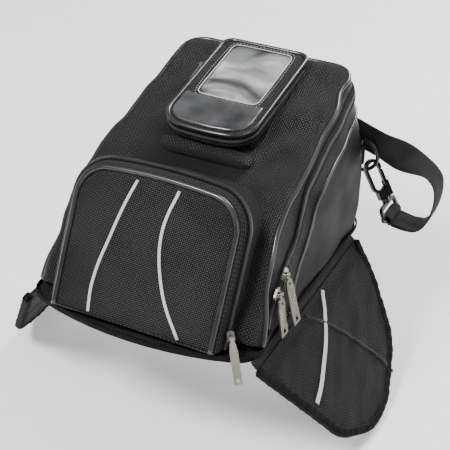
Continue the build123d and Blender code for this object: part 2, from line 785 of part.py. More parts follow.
# The front pocket's slider faces half forward, and its pull leans out over the base's edge
pocket_pin = Vector(*POCKET_PIN)
pin_line = Vector(*POCKET_PIN_LINE).normalized()
pull_line = Vector(*POCKET_PULL_LINE).normalized()
slider_out = pin_line.cross(Vector(0, pocket_out[2], -pocket_out[1]))
save(make_slider(Plane(pocket_pin, pin_line, slider_out), *SMALL_SLIDER_SIZE, 0), "pocket_slider")
pocket_hang = Plane(pocket_pin, pin_line, pull_line.cross(pin_line))
save(make_pull(pocket_hang, POCKET_PULL_LENGTH, POCKET_PULL_WIDTH, False), "pocket_pull")

phone_pin = Vector(*PHONE_PIN)
phone_dip = radians(PHONE_PULL_DIP)
phone_hang = Plane(phone_pin, (0, -sin(phone_dip), cos(phone_dip)), (-1, 0, 0))
save(make_slider(phone_hang, *SMALL_SLIDER_SIZE, 0), "phone_slider")
save(make_pull(phone_hang, PHONE_PULL_LENGTH, PHONE_PULL_WIDTH, False), "phone_pull")

# ---------------------------------------------------------------- strap hardware

bar_centre = Vector(RING_BAR_X, HARDWARE_Y, RING_Z)
tab_radius = RING_WIRE + PIN_FIT + WEB_THICK
with BuildPart() as ring_tab:
    with BuildSketch(Plane.XY.offset(RING_Z - TAB_HALF_HEIGHT)):
        with Locations((RING_BAR_X, HARDWARE_Y)):
            Circle(tab_radius)
        with Locations(((RING_BAR_X + TAB_END_X) / 2, HARDWARE_Y + tab_radius - WEB_THICK / 2)):
            Rectangle(RING_BAR_X - TAB_END_X, WEB_THICK)
        with Locations((TAB_END_X + TAB_PAD / 2, HARDWARE_Y + tab_radius - TAB_DEPTH / 2)):
            Rectangle(TAB_PAD, TAB_DEPTH)
        with Locations((RING_BAR_X, HARDWARE_Y)):
            Circle(RING_WIRE + PIN_FIT, mode=Mode.SUBTRACT)
    extrude(amount=2 * TAB_HALF_HEIGHT)
    add(body_solid.part, mode=Mode.SUBTRACT)
save(ring_tab.part, "ring_tab")

ring_ends = [bar_centre + Vector(0, 0, RING_RADIUS), bar_centre - Vector(0, 0, RING_RADIUS)]
with BuildPart() as d_ring:
    with BuildSketch(Plane(origin=ring_ends[1], z_dir=(0, 0, 1))):
        Circle(RING_WIRE)
    extrude(amount=2 * RING_RADIUS)
    with BuildLine() as bow:
        ThreePointArc(ring_ends[1], bar_centre + Vector(RING_RADIUS, 0, 0), ring_ends[0])
    with BuildSketch(Plane(origin=ring_ends[1], z_dir=bow.line % 0)):
        Circle(RING_WIRE)
    sweep(path=bow.line)
    with Locations(*ring_ends):
        Sphere(RING_WIRE)
save(d_ring.part, "d_ring")

hook_tilt = radians(HOOK_TILT)
hook_turn = radians(HOOK_TURN)
hook_axis = Vector(sin(hook_tilt), 0, -cos(hook_tilt))
hook_side = Vector(cos(hook_tilt), 0, sin(hook_tilt)) * cos(hook_turn) + Vector(0, 1, 0) * sin(hook_turn)
hook_origin = Vector(HOOK_TOP[0], HARDWARE_Y, HOOK_TOP[1])
hook_plane = Plane(origin=hook_origin, x_dir=hook_axis, z_dir=hook_axis.cross(hook_side))
eye_plane = Plane(origin=hook_origin, x_dir=hook_axis, z_dir=hook_axis.cross(Vector(0, 1, 0)))
hook_outer = HOOK_INNER + HOOK_ARM
gate_y = HOOK_INNER + HOOK_ARM / 2
base_length = HOOK_BASE[1] - HOOK_BASE[0]
base_middle = (HOOK_BASE[0] + HOOK_BASE[1]) / 2


def slot_face(radius, start, end):
    """A slot along the hook from one end centre to the other."""
    with BuildSketch() as face:
        with Locations(((start + end) / 2, 0)):
            SlotCenterToCenter(end - start, 2 * radius)
    return face.sketch


with BuildPart() as snap_hook:
    with BuildSketch(hook_plane.offset(-HOOK_THICK / 2)):
        add(slot_face(hook_outer, HOOK_INNER, HOOK_SLOT_END))
        with Locations((base_middle, 0)):
            Rectangle(base_length, 2 * HOOK_INNER)
        add(slot_face(HOOK_INNER, HOOK_INNER, HOOK_SLOT_END), mode=Mode.SUBTRACT)
        with Locations(((GATE_TIP + HOOK_BASE[0]) / 2 - 0.3, gate_y + 2)):
            Rectangle(HOOK_BASE[0] - GATE_TIP + 0.6, HOOK_ARM + 8, mode=Mode.SUBTRACT)
    extrude(amount=HOOK_THICK)
    with BuildSketch(hook_plane):
        with Locations((base_middle, 0)):
            Rectangle(base_length, 2 * HOOK_INNER)
    extrude(amount=HOOK_THICK / 2 + HOOK_CHEEK, both=True)
    for face_offset in (HOOK_THICK / 2 + 0.15, -HOOK_THICK / 2 - HOOK_CHEEK):
        with BuildSketch(hook_plane.offset(face_offset)):
            with Locations(((GATE_PIN + HOOK_BASE[1]) / 2 - 1.5, gate_y)):
                Rectangle(HOOK_BASE[1] - GATE_PIN + 3, 5)
        extrude(amount=HOOK_CHEEK - 0.15)
    with BuildSketch(hook_plane):
        with Locations((HOOK_BASE[0] + base_length / 2 + 1, gate_y)):
            Rectangle(base_length - 2, 5)
    extrude(amount=HOOK_THICK / 2 + HOOK_CHEEK, both=True)
    with BuildSketch(hook_plane):
        with Locations((GATE_PIN, gate_y)):
            Circle(1.0)
    extrude(amount=HOOK_THICK / 2 + HOOK_CHEEK, both=True)
    with BuildSketch(Plane(hook_origin + hook_axis * (HOOK_BASE[0] + 1), hook_side, hook_axis)):
        Circle(RING_WIRE + PIN_FIT)
    extrude(amount=base_length, mode=Mode.SUBTRACT)
save(snap_hook.part, "snap_hook")

with BuildPart() as hook_gate:
    with BuildSketch(hook_plane.offset(-HOOK_THICK / 2 + 0.2)):
        with Locations(((GATE_TIP + GATE_PIN) / 2, gate_y)):
            SlotCenterToCenter(GATE_PIN - GATE_TIP - HOOK_ARM, HOOK_ARM)
        with Locations((GATE_PIN, gate_y)):
            Circle(2.0)
            Circle(1.0 + PIN_FIT, mode=Mode.SUBTRACT)
    extrude(amount=HOOK_THICK - 0.4)
save(hook_gate.part, "hook_gate")

with BuildPart() as swivel_eye:
    with BuildSketch(eye_plane.offset(-EYE_WIRE / 2)):
        with Locations(((EYE_START + EYE_BAR) / 2 + EYE_WIRE / 2, 0)):
            RectangleRounded(EYE_BAR - EYE_START, 2 * (EYE_HALF_WIDTH + EYE_WIRE), 6)
            RectangleRounded(
                EYE_BAR - EYE_START - 2 * EYE_WIRE, 2 * EYE_HALF_WIDTH, 0.5, mode=Mode.SUBTRACT
            )
    extrude(amount=EYE_WIRE)
    with BuildSketch(Plane(hook_origin + hook_axis * (HOOK_BASE[0] + 1.5), (0, 1, 0), hook_axis)):
        Circle(RING_WIRE)
    extrude(amount=EYE_START + EYE_WIRE - HOOK_BASE[0] - 1)
    with BuildSketch(Plane(hook_origin + hook_axis * (HOOK_BASE[1] + 0.4), (0, 1, 0), hook_axis)):
        Circle(4)
    extrude(amount=EYE_START - HOOK_BASE[1] + 2)
save(swivel_eye.part, "swivel_eye")

# ---------------------------------------------------------------- strap


def xz_plane(y):
    """A plane across the bag at y whose sketches are drawn as (x, z)."""
    return Plane(origin=(0, y, 0), x_dir=(1, 0, 0), z_dir=(0, -1, 0))


with BuildPart() as strap_upper:
    with BuildSketch(xz_plane(STRAP_Y)):
        with BuildLine():
            FilletPolyline(*STRAP_UPPER, radius=[90, 120, 30])
        trace(line_width=STRAP_WIDTH)
    extrude(amount=-STRAP_THICK)
save(strap_upper.part, "strap_upper")

bar_place = hook_origin + hook_axis * EYE_BAR
with BuildPart() as strap_lower:
    with BuildSketch(xz_plane(HARDWARE_Y + EYE_HALF_WIDTH - 0.6)):
        with BuildLine():
            FilletPolyline(*STRAP_LOWER, radius=STRAP_LOWER_RADII)
        trace(line_width=STRAP_THICK)
        with Locations((bar_place.X, bar_place.Z)):
            Circle(EYE_WIRE * 0.8 + STRAP_THICK)
            Circle(EYE_WIRE * 0.8, mode=Mode.SUBTRACT)
    extrude(amount=2 * (EYE_HALF_WIDTH - 0.6))
save(strap_lower.part, "strap_lower")

with BuildPart() as strap_anchor:
    with BuildSketch(Plane.XY.offset(STRAP_UPPER[0][1] - STRAP_WIDTH / 2)):
        with Locations(((ANCHOR_X[0] + ANCHOR_X[1]) / 2, STRAP_Y - 5)):
            Rectangle(ANCHOR_X[1] - ANCHOR_X[0], 10)
    extrude(amount=STRAP_WIDTH)
    add(body_solid.part, mode=Mode.SUBTRACT)
save(strap_anchor.part, "strap_anchor")

# Sliding adjuster on the strap's straight stretch
with BuildPart() as strap_adjuster:
    with BuildSketch(Plane.YZ.offset(ADJUSTER_X)):
        with Locations((STRAP_Y + STRAP_THICK / 2, STRAP_UPPER[0][1])):
            RectangleRounded(STRAP_THICK + 1 + 2 * ADJUSTER_WALL, STRAP_WIDTH + 1 + 2 * ADJUSTER_WALL, 1.5)
            Rectangle(STRAP_THICK + 0.8, STRAP_WIDTH + 0.8, mode=Mode.SUBTRACT)
    extrude(amount=14)
save(strap_adjuster.part, "strap_adjuster")
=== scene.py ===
"""Looks for the motorcycle tank bag: lofted cloth shells, binding, zips, window, strap and finishes.

Shapes are worked out in millimetres in the frame's own axes and turned into metres when a mesh is made.
"""

import json
from functools import partialmethod
from math import acos, cos, pi, radians, sin, tan

import bpy
import numpy as np
from mathutils import Matrix, Vector

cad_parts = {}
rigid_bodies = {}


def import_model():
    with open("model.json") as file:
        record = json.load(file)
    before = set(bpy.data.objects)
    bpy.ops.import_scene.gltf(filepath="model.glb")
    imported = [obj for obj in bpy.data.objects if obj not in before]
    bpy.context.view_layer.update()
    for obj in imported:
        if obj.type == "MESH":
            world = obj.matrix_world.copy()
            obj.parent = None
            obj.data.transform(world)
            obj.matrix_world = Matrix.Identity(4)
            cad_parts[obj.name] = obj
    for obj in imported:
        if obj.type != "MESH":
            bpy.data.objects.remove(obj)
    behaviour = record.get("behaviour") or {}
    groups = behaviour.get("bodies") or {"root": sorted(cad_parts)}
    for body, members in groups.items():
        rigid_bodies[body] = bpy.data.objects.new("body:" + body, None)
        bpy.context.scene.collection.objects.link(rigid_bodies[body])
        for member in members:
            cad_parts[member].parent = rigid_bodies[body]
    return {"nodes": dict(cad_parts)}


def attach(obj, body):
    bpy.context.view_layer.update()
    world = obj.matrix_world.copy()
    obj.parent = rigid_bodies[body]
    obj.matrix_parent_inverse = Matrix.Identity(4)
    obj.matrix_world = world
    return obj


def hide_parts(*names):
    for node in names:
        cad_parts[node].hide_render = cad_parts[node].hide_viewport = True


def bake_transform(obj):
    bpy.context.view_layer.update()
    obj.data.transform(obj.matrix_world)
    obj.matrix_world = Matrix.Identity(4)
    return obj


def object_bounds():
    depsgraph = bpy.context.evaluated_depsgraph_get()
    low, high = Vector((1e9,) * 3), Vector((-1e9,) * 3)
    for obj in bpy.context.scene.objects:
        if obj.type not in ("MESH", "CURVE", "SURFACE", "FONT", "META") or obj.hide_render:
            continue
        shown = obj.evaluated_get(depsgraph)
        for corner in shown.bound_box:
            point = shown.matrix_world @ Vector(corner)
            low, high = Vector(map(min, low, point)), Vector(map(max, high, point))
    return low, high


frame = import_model()
cad_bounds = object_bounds()
scene_objects = bpy.context.scene.collection.objects
SIDES = (("right", 1), ("left", -1))

MM = 0.001
CAMERA_AZIMUTH = 26.7
CAMERA_ELEVATION = 33.4
CAMERA_DISTANCE = 1.1411
CAMERA_TARGET = Vector((0.024, -0.015, 0.0435))
CAMERA_LENS = 96.47

# The body's flat pattern, in millimetres
LEAN = 0.152
FRONT_Y = -128.0
FRONT_SLOPE, FRONT_COSINE = 0.5887, 0.8617
SHOULDER = (-72.9, 93.6)
TOP_SLOPE, TOP_COSINE = 0.3048, 0.9565
BACK = (147.0, 70.0)
BACK_SLOPE = 0.0676
REAR_FOOT_Y = 116.0
REAR_FOOT_SLOPE, REAR_FOOT_COSINE = 0.443, 0.914
REAR_CORNER = (84, 89.5, 30)
NOSE_CORNER = (74, -110.6, 40)
CORNER_FLARE = 0.445
PLAN_CENTRE = (62.0, 116.0)
PLAN_RADIUS = 52.0
EDGE_SOFT = 10.0
ZIP_LINE = [(-122, 8), (-64, 55), (-44, 62), (-14, 96), (37, 112), (99, 127), (170, 142)]
PANEL_LINE = [(-74, 0), (-35, 38), (-11, 62), (4, 79), (29, 89), (91, 101), (170, 124)]
BASE_FLOOR = 3.0


def smax(a, b, k):
    """The larger of two distances, rounded where they meet."""
    h = np.maximum(k - np.abs(a - b), 0) / k
    return np.maximum(a, b) + h * h * k / 4


def smooth_step(t):
    t = np.clip(t, 0, 1)
    return t * t * (3 - 2 * t)


def wrinkle(p, seed, wave):
    """A gentle uneven swell, from -1 to 1, the same on every run."""
    rng = np.random.default_rng(seed)
    total = np.zeros(len(p))
    for _ in range(7):
        k = rng.normal(size=3)
        k *= 2 * pi / wave / np.linalg.norm(k) * rng.uniform(0.6, 1.7)
        total += np.sin(p @ k + rng.uniform(0, 6.3))
    return total / 3.2


def front_top(y, z):
    front = -(y - FRONT_Y - FRONT_SLOPE * z) * FRONT_COSINE
    top = (z - SHOULDER[1] - TOP_SLOPE * (y - SHOULDER[0])) * TOP_COSINE
    return smax(front, top, 26)


def profile_field(y, z):
    back = y - BACK[0] + BACK_SLOPE * (z - BACK[1])
    foot = (y - REAR_FOOT_Y - REAR_FOOT_SLOPE * z) * REAR_FOOT_COSINE
    return smax(front_top(y, z), smax(back, foot, 14), 22)


def plan_field(x, y, z):
    ax = np.abs(x)
    qx, qy = ax - PLAN_CENTRE[0], y - PLAN_CENTRE[1]
    inside = np.minimum(np.maximum(qx, qy), 0)
    walls = np.hypot(np.maximum(qx, 0), np.maximum(qy, 0)) + inside - (PLAN_RADIUS - LEAN * z)
    flare = CORNER_FLARE * np.maximum(z - 7.4, 0)

    def corner_field(x_start, past, radius):
        round_it = np.hypot(np.maximum(ax - x_start, 0), np.maximum(past, 0)) - radius - flare
        return np.where((ax > x_start) & (past > 0), round_it, -99)

    rear = corner_field(REAR_CORNER[0], y - REAR_CORNER[1], REAR_CORNER[2])
    nose = corner_field(NOSE_CORNER[0], NOSE_CORNER[1] - y, NOSE_CORNER[2])
    return np.maximum(smax(walls, rear, 5), nose)


def bulge(x, y, z):
    """How far the stuffed cloth stands out beyond the flat pattern."""
    beside = np.clip((np.abs(x) - 62) / 42, 0, 1)
    swell = 5.5 * np.exp(-(((y - 35) / 95) ** 2) - ((z - 70) / 48) ** 2) * beside
    crown = 3.5 * np.exp(-((x / 75) ** 2) - ((y - 40) / 110) ** 2) * (z > 60)
    rear = 3.0 * np.exp(-((x / 70) ** 2) - ((z - 60) / 45) ** 2) * np.clip((y - 100) / 30, 0, 1)
    cheek = 10.0 * np.exp(-(((z - 8) / 30) ** 2)) * smooth_step((-y - 92) / 25)
    cheek *= smooth_step((np.abs(x) - 68) / 16) * smooth_step((120 - np.abs(x)) / 18)
    return swell + crown + rear + cheek


def body_field(p):
    x, y, z = p[:, 0], p[:, 1], p[:, 2]
    f = smax(profile_field(y, z), plan_field(x, y, z), EDGE_SOFT)
    soft = np.clip((z - 40) / 40, 0, 1) * np.clip((100 - np.abs(x)) / 30, 0, 1) * np.clip((110 - y) / 40, 0, 1)
    folds = 2.0 * wrinkle(p * [1.0, 0.55, 1.0], 5, 44) * soft
    return f - bulge(x, y, z) - 0.9 * wrinkle(p, 3, 75) - 0.35 * wrinkle(p, 8, 28) - folds


def cast(origins, directions, reach=240.0):
    """Where rays from inside the body leave it."""
    low = np.zeros(len(origins))
    high = np.full(len(origins), reach)
    for _ in range(34):
        mid = (low + high) / 2
        outside = body_field(origins + directions * mid[:, None]) > 0
        high = np.where(outside, mid, high)
        low = np.where(outside, low, mid)
    return origins + directions * ((low + high) / 2)[:, None]


def line_height(line):
    """Height along a side-view line, its corners cut three times over."""
    points = np.array(line, float)
    for _ in range(3):
        a, b = points[:-1], points[1:]
        cut = np.stack([0.75 * a + 0.25 * b, 0.25 * a + 0.75 * b], axis=1).reshape(-1, 2)
        points = np.vstack([points[:1], cut, points[-1:]])
    return lambda y: np.interp(y, points[:, 0], points[:, 1])


zip_height = line_height(ZIP_LINE)
panel_height = line_height(PANEL_LINE)

# Wall columns down one side: along the flank, round the rear corner and across to the middle
flank = [(0.0, y, 1.0, 0.0) for y in np.concatenate([np.arange(-122, -60, 2.0), np.arange(-60, 99, 3.0)])]
turn_x, turn_y = PLAN_CENTRE[0] * 0.9, PLAN_CENTRE[1] * 0.86
corner = [(turn_x, turn_y, cos(angle), sin(angle)) for angle in np.linspace(0, pi / 2, 19)]
across = [(x, 60.0, 0.0, 1.0) for x in np.linspace(turn_x - 4, 0, 15)]
COLUMNS = np.array(flank + corner + across)
EDGE_COLUMNS = len(flank) + len(corner)


def on_wall(columns, z, sign):
    origins = np.column_stack([columns[:, 0] * sign, columns[:, 1], z])
    directions = np.column_stack([columns[:, 2] * sign, columns[:, 3], np.zeros(len(z))])
    return cast(origins, directions)


def height_of(columns, line, sign):
    """The height at which each column crosses a side-view line."""
    z = np.full(len(columns), 60.0)
    for _ in range(12):
        z = 0.5 * z + 0.5 * line(on_wall(columns, z, sign)[:, 1])
    return z


def edge_height(columns, sign):
    """The height at which each column turns over on to the top."""
    low, high = np.full(len(columns), 6.0), np.full(len(columns), 175.0)
    for _ in range(26):
        mid = (low + high) / 2
        p = on_wall(columns, mid, sign)
        depth = EDGE_SOFT / 4 + 3.0 * np.clip((p[:, 1] - 96) / 55, 0, 1) ** 1.5
        above = front_top(p[:, 1], mid) > -depth
        high = np.where(above, mid, high)
        low = np.where(above, low, mid)
    return low


# ---- mesh helpers


def new_object(name, verts, faces, material, body=None, uvs=None):
    """A mesh object from points in millimetres, with its cloth coordinates in metres."""
    mesh = bpy.data.meshes.new(name)
    mesh.from_pydata([tuple(v) for v in np.reshape(verts, (-1, 3)) * MM], [], faces)
    if uvs is not None:
        layer = mesh.uv_layers.new(name="cloth")
        uvs = np.reshape(uvs, (-1, 2)) * MM
        loops = np.zeros(len(mesh.loops), dtype=np.int32)
        mesh.loops.foreach_get("vertex_index", loops)
        layer.data.foreach_set("uv", uvs[loops].astype(np.float32).ravel())
    mesh.polygons.foreach_set("use_smooth", [True] * len(mesh.polygons))
    mesh.materials.append(material)
    mesh.update()
    obj = bpy.data.objects.new(name, mesh)
    scene_objects.link(obj)
    if body:
        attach(obj, body)
    return obj


def grid_faces(rows, columns, close_rows=False, close_columns=False, flip=False):
    faces = []
    for i in range(rows if close_rows else rows - 1):
        for j in range(columns if close_columns else columns - 1):
            a, b = i * columns + j, i * columns + (j + 1) % columns
            c, d = ((i + 1) % rows) * columns + (j + 1) % columns, ((i + 1) % rows) * columns + j
            faces.append((a, d, c, b) if flip else (a, b, c, d))
    return faces


def run_of(points):
    """The length run along a line, or along every line of a grid's first axis, at each point."""
    steps = np.linalg.norm(np.diff(points, axis=0), axis=-1)
    return np.concatenate([np.zeros((1, *steps.shape[1:])), np.cumsum(steps, axis=0)])


def grid_uvs(points):
    """Cloth coordinates from lengths, counted from the middle column and the middle row."""
    rows, columns = points.shape[:2]
    u, v = run_of(points.swapaxes(0, 1)).T, run_of(points)
    return np.stack([u - u[:, columns // 2, None], v - v[rows // 2]], axis=2)


def thicken(obj, thickness, inward=1):
    modifier = obj.modifiers.new("cloth_thickness", "SOLIDIFY")
    modifier.thickness = thickness * MM
    modifier.offset = -inward
    modifier.use_even_offset = False
    return obj


def outward(points, centre):
    """True if a grid's faces, wound as built, turn away from a point inside."""
    rows, columns = points.shape[:2]
    i, j = rows // 2, columns // 2
    along = points[min(i + 1, rows - 1), j] - points[max(i - 1, 0), j]
    aside = points[i, min(j + 1, columns - 1)] - points[i, max(j - 1, 0)]
    return np.dot(np.cross(aside, along), points[i, j] - np.asarray(centre)) > 0


def sheet_mesh(name, points, material, body, thickness=2.0, centre=(0, 20, 40), uvs=None):
    """A sheet of cloth on a grid of points, thickened towards its inside."""
    points = np.asarray(points, float)
    if uvs is None:
        uvs = grid_uvs(points)
    flip = not outward(points, centre)
    faces = grid_faces(*points.shape[:2], flip=flip)
    return thicken(new_object(name, points, faces, material, body, uvs), thickness)


def unit(ways):
    """Directions, one to a row, at length 1."""
    return ways / np.linalg.norm(ways, axis=1)[:, None]


def frames_along(path, up=(0, 0, 1), closed=False):
    """Tangents, sideways and upright directions at each point of a path."""
    path = np.asarray(path, float)
    if closed:
        tangents = np.roll(path, -1, axis=0) - np.roll(path, 1, axis=0)
    else:
        tangents = np.gradient(path, axis=0)
    tangents = unit(tangents)
    sides = unit(np.cross(tangents, np.broadcast_to(np.asarray(up, float), path.shape)))
    return tangents, sides, np.cross(sides, tangents)


def cap_faces(rows, columns):
    """The two end faces of a closed run of rings."""
    return [tuple(range(columns))[::-1], tuple(range((rows - 1) * columns, rows * columns))]


def swept(name, path, section, material, body, up=(0, 0, 1), closed=False, rise=None):
    """A section of (aside, up) points swept along a path, scaled upwards by rise at each point."""
    path = np.asarray(path, float)
    _, sides, ups = frames_along(path, up, closed)
    if rise is not None:
        ups = ups * np.asarray(rise)[:, None]
    rings = path[:, None] + section[None, :, :1] * sides[:, None] + section[None, :, 1:] * ups[:, None]
    rows, columns = rings.shape[:2]
    faces = grid_faces(rows, columns, close_rows=closed, close_columns=True)
    if not closed:
        faces += cap_faces(rows, columns)
    uvs = np.stack(np.meshgrid(run_of(path), run_of(section), indexing="ij"), axis=2)
    return new_object(name, rings, faces, material, body, uvs)


def ring_section(radius, sides=10, flatten=1.0):
    """A round section, or an oval one."""
    angles = np.linspace(0, 2 * pi, sides, endpoint=False)
    return np.column_stack([np.cos(angles) * radius, np.sin(angles) * radius * flatten])


def band_section(width, height, sides=16):
    """A soft-edged flat section."""
    angles = np.linspace(0, 2 * pi, sides, endpoint=False)
    c, s = np.cos(angles), np.sin(angles)
    return np.column_stack([np.sign(c) * np.abs(c) ** 0.5 * width / 2, np.sign(s) * np.abs(s) ** 0.7 * height / 2])


def even(path, step, closed=False):
    """A polyline with its points an even step apart."""
    path = np.asarray(path, float)
    if closed:
        path = np.vstack([path, path[:1]])
    lengths = run_of(path)
    at = np.linspace(0, lengths[-1], max(round(lengths[-1] / step), 2) + 1)
    if closed:
        at = at[:-1]
    return np.column_stack([np.interp(at, lengths, path[:, k]) for k in range(path.shape[1])])


STITCH_PITCH, STITCH_LENGTH, STITCH_RADIUS = 3.6, 2.3, 0.38
STITCH_PROFILE = [(-0.5, 0.25), (-0.25, 0.9), (0.25, 0.9), (0.5, 0.25)]


def stitches(name, path, up, material, body, closed=False):
    """A row of stitches, each a short thread lying on the cloth."""
    ends = even(path, STITCH_PITCH, closed)
    verts, faces, uvs = [], [], []
    for p, t, a, n in zip(ends, *frames_along(ends, up, closed)):
        faces += [tuple(v + len(verts) for v in face) for face in grid_faces(4, 5, close_columns=True)]
        for along, rise in STITCH_PROFILE:
            for k in range(5):
                angle = 2 * pi * k / 5
                aside = a * cos(angle) + n * sin(angle)
                verts.append(p + t * along * STITCH_LENGTH + aside * STITCH_RADIUS * rise)
                uvs.append((along * STITCH_LENGTH, angle * STITCH_RADIUS))
    return new_object(name, verts, faces, material, body, uvs)


# ---- finishes


class Value:
    """A shader node's output, which plain arithmetic turns into math nodes."""

    def __init__(self, node, output=0):
        self.tree, self.socket = node.id_data, node.outputs[output]

    def math(self, operation, *others):
        node = add_node(self.tree, "Math", dict(enumerate((self, *others))))
        node.operation = operation
        return Value(node)


ARITHMETIC = {"add": "ADD", "sub": "SUBTRACT", "mul": "MULTIPLY", "truediv": "DIVIDE", "pow": "POWER"}
for word, operation in ARITHMETIC.items():
    setattr(Value, f"__{word}__", partialmethod(Value.math, operation))


def set_inputs(node, entries):
    """Gives a node's inputs numbers or other nodes' values."""
    for entry, value in entries.items():
        if isinstance(value, Value):
            node.id_data.links.new(value.socket, node.inputs[entry])
        else:
            node.inputs[entry].default_value = value


def add_node(tree, kind, entries):
    node = tree.nodes.new(f"ShaderNode{kind}")
    set_inputs(node, entries)
    return node


def nodes_of(name, roughness, metallic=0.0, coat=0.0, specular=0.5):
    """A new material, its node tree and its shader."""
    material = bpy.data.materials.new(name)
    material.use_nodes = True
    shader = material.node_tree.nodes["Principled BSDF"]
    entries = {"Roughness": roughness, "Metallic": metallic, "Coat Weight": coat, "Specular IOR Level": specular}
    set_inputs(shader, entries)
    return material, material.node_tree, shader


def noise(tree, scale, detail=3.0, distortion=0.0):
    """Noise over the object's own coordinates."""
    where = Value(add_node(tree, "TexCoord", {}), "Object")
    entries = {"Vector": where, "Scale": scale, "Detail": detail, "Distortion": distortion}
    return Value(add_node(tree, "TexNoise", entries), "Fac")


def ramp(value, *stops):
    """A colour for a value, from (position, colour) stops."""
    node = add_node(value.tree, "ValToRGB", {"Fac": value})
    elements = node.color_ramp.elements
    while len(elements) < len(stops):
        elements.new(0.5)
    for element, (position, colour) in zip(elements, stops):
        element.position = position
        element.color = (*colour, 1)
    return Value(node, "Color")


def bump(height, depth):
    """Relief from a value, its depth in millimetres."""
    return Value(add_node(height.tree, "Bump", {"Distance": depth * MM, "Strength": 1.0, "Height": height}), "Normal")


def cloth_axes(tree):
    node = add_node(tree, "UVMap", {})
    node.uv_map = "cloth"
    parts = add_node(tree, "SeparateXYZ", {0: Value(node, "UV")})
    return Value(parts, 0), Value(parts, 1)


def woven(name, dark, light, pitch, depth, roughness, slant=0.0, specular=0.3):
    """Basket-woven cloth: crossing threads of one pitch, each rounded across its width and coloured lighter on its
    top and darker where it dips, a painted highlight and shade.
    """
    material, tree, shader = nodes_of(name, roughness, specular=specular)
    u, v = cloth_axes(tree)
    if slant:
        u, v = u + v * slant, v - u * slant
    u, v = u / (pitch * MM), v / (pitch * MM)
    over = (u.math("FLOOR") + v.math("FLOOR")).math("PINGPONG", 1.0)
    warp = (u * pi).math("SINE").math("ABSOLUTE")
    weft = (v * pi).math("SINE").math("ABSOLUTE")
    height = warp**0.5 * weft**0.9 * over + weft**0.5 * warp**0.9 * 0.72 * (over * -1.0 + 1.0)
    patches = noise(tree, 14.0, 4.0)
    # Painted highlight and shade: the colour follows the threads' height, light on their tops and dark between them,
    # with two noises adding random tone.
    painted_thread_light = height * (noise(tree, 900.0, 2.0) * 0.6 + 0.55) * (patches * 0.6 + 0.7)
    mid = tuple(a * 0.82 + b * 0.18 for a, b in zip(dark, light))
    set_inputs(shader, {
        "Base Color": ramp(painted_thread_light, (0.08, dark), (0.5, mid), (0.9, light)),
        "Normal": bump(height, depth),
        "Roughness": patches * 0.25 + (roughness - 0.12),
    })
    return material


def ribbed(name, dark, light, pitch, depth, roughness=0.75, along=False, specular=0.25):
    """Webbing or tape with fine cross ribs and a broken-up herringbone."""
    material, tree, shader = nodes_of(name, roughness, specular=specular)
    u, v = cloth_axes(tree)
    if along:
        u, v = v, u
    pitch *= MM
    zig = (v / (pitch * 2)).math("PINGPONG", 1.0)
    fine = ((u / (pitch / 2) + zig) * (2 * pi)).math("SINE")
    height = (u * (2 * pi / pitch)).math("SINE") * 0.6 + fine * 0.35
    # Partly painted highlight: the rib tops come out a little lighter, on top of a random tone from the noise.
    colour = ramp(height * 0.3 + noise(tree, 40.0), (0.2, dark), (0.85, light))
    set_inputs(shader, {"Base Color": colour, "Normal": bump(height, depth)})
    return material


def moulded(name, dark, light, roughness, grain, depth, metallic=0.0, coat=0.0, spread=0.2):
    """Moulded, coated or metal surface with grain, uneven polish and colour that varies a little."""
    material, tree, shader = nodes_of(name, roughness, metallic, coat)
    broad = noise(tree, 30.0)
    set_inputs(shader, {
        "Base Color": ramp(broad, (0.3, dark), (0.7, light)),
        "Roughness": broad * spread + (roughness - spread / 2),
        "Normal": bump(noise(tree, grain, 4.0), depth),
    })
    return material


def grey(value, blue=None):
    return (value, value, value if blue is None else blue)


THREAD_BLACK = grey(0.0005, 0.0006)
ballistic = woven("ballistic_weave", THREAD_BLACK, grey(0.07, 0.071), 2.0, 0.9, 0.42, specular=0.16)
pocket_weave = woven("pocket_weave", THREAD_BLACK, grey(0.1, 0.102), 2.0, 1.0, 0.4, slant=0.6, specular=0.2)
# A darker copy of the ballistic weave for the flaps, painted shade to offset the fill light they face.
shaded_flap_weave = woven("shaded_flap_weave", THREAD_BLACK, grey(0.04, 0.041), 2.0, 0.9, 0.42, specular=0.08)
smooth_cloth = woven("smooth_weave", grey(0.003, 0.0035), grey(0.012, 0.0125), 0.7, 0.1, 0.5, specular=0.16)
lining = woven("lining_weave", grey(0.004, 0.0045), grey(0.012, 0.013), 0.9, 0.1, 0.8, specular=0.15)
reflective = woven("reflective_tape", grey(0.45, 0.44), grey(0.85, 0.83), 1.3, 0.12, 0.45)
binding = ribbed("binding_tape", grey(0.001, 0.0012), grey(0.006, 0.0063), 1.3, 0.16, specular=0.12)
zip_tape = ribbed("zip_tape", grey(0.0015), grey(0.007), 1.1, 0.12, along=True)
coil = ribbed("zip_coil", grey(0.002), (0.06, 0.058, 0.055), 1.5, 0.7, roughness=0.34, specular=0.6)
webbing = ribbed("webbing", grey(0.002, 0.0025), grey(0.03, 0.031), 1.7, 0.35, specular=0.2)
piping = moulded("piping_vinyl", grey(0.012, 0.0125), grey(0.026, 0.027), 0.3, 900.0, 0.03, coat=0.35)
# The coated patch is coloured lighter than plain black leatherette, a painted highlight for its broad shine, on top
# of a random tone.
leatherette = moulded(
    "coated_leatherette", (0.02, 0.0205, 0.0215), (0.085, 0.086, 0.089), 0.26, 700.0, 0.12, coat=0.5
)
nickel = moulded(
    "antique_nickel", (0.2, 0.185, 0.16), (0.5, 0.475, 0.43), 0.32, 500.0, 0.06, metallic=0.95, spread=0.3
)
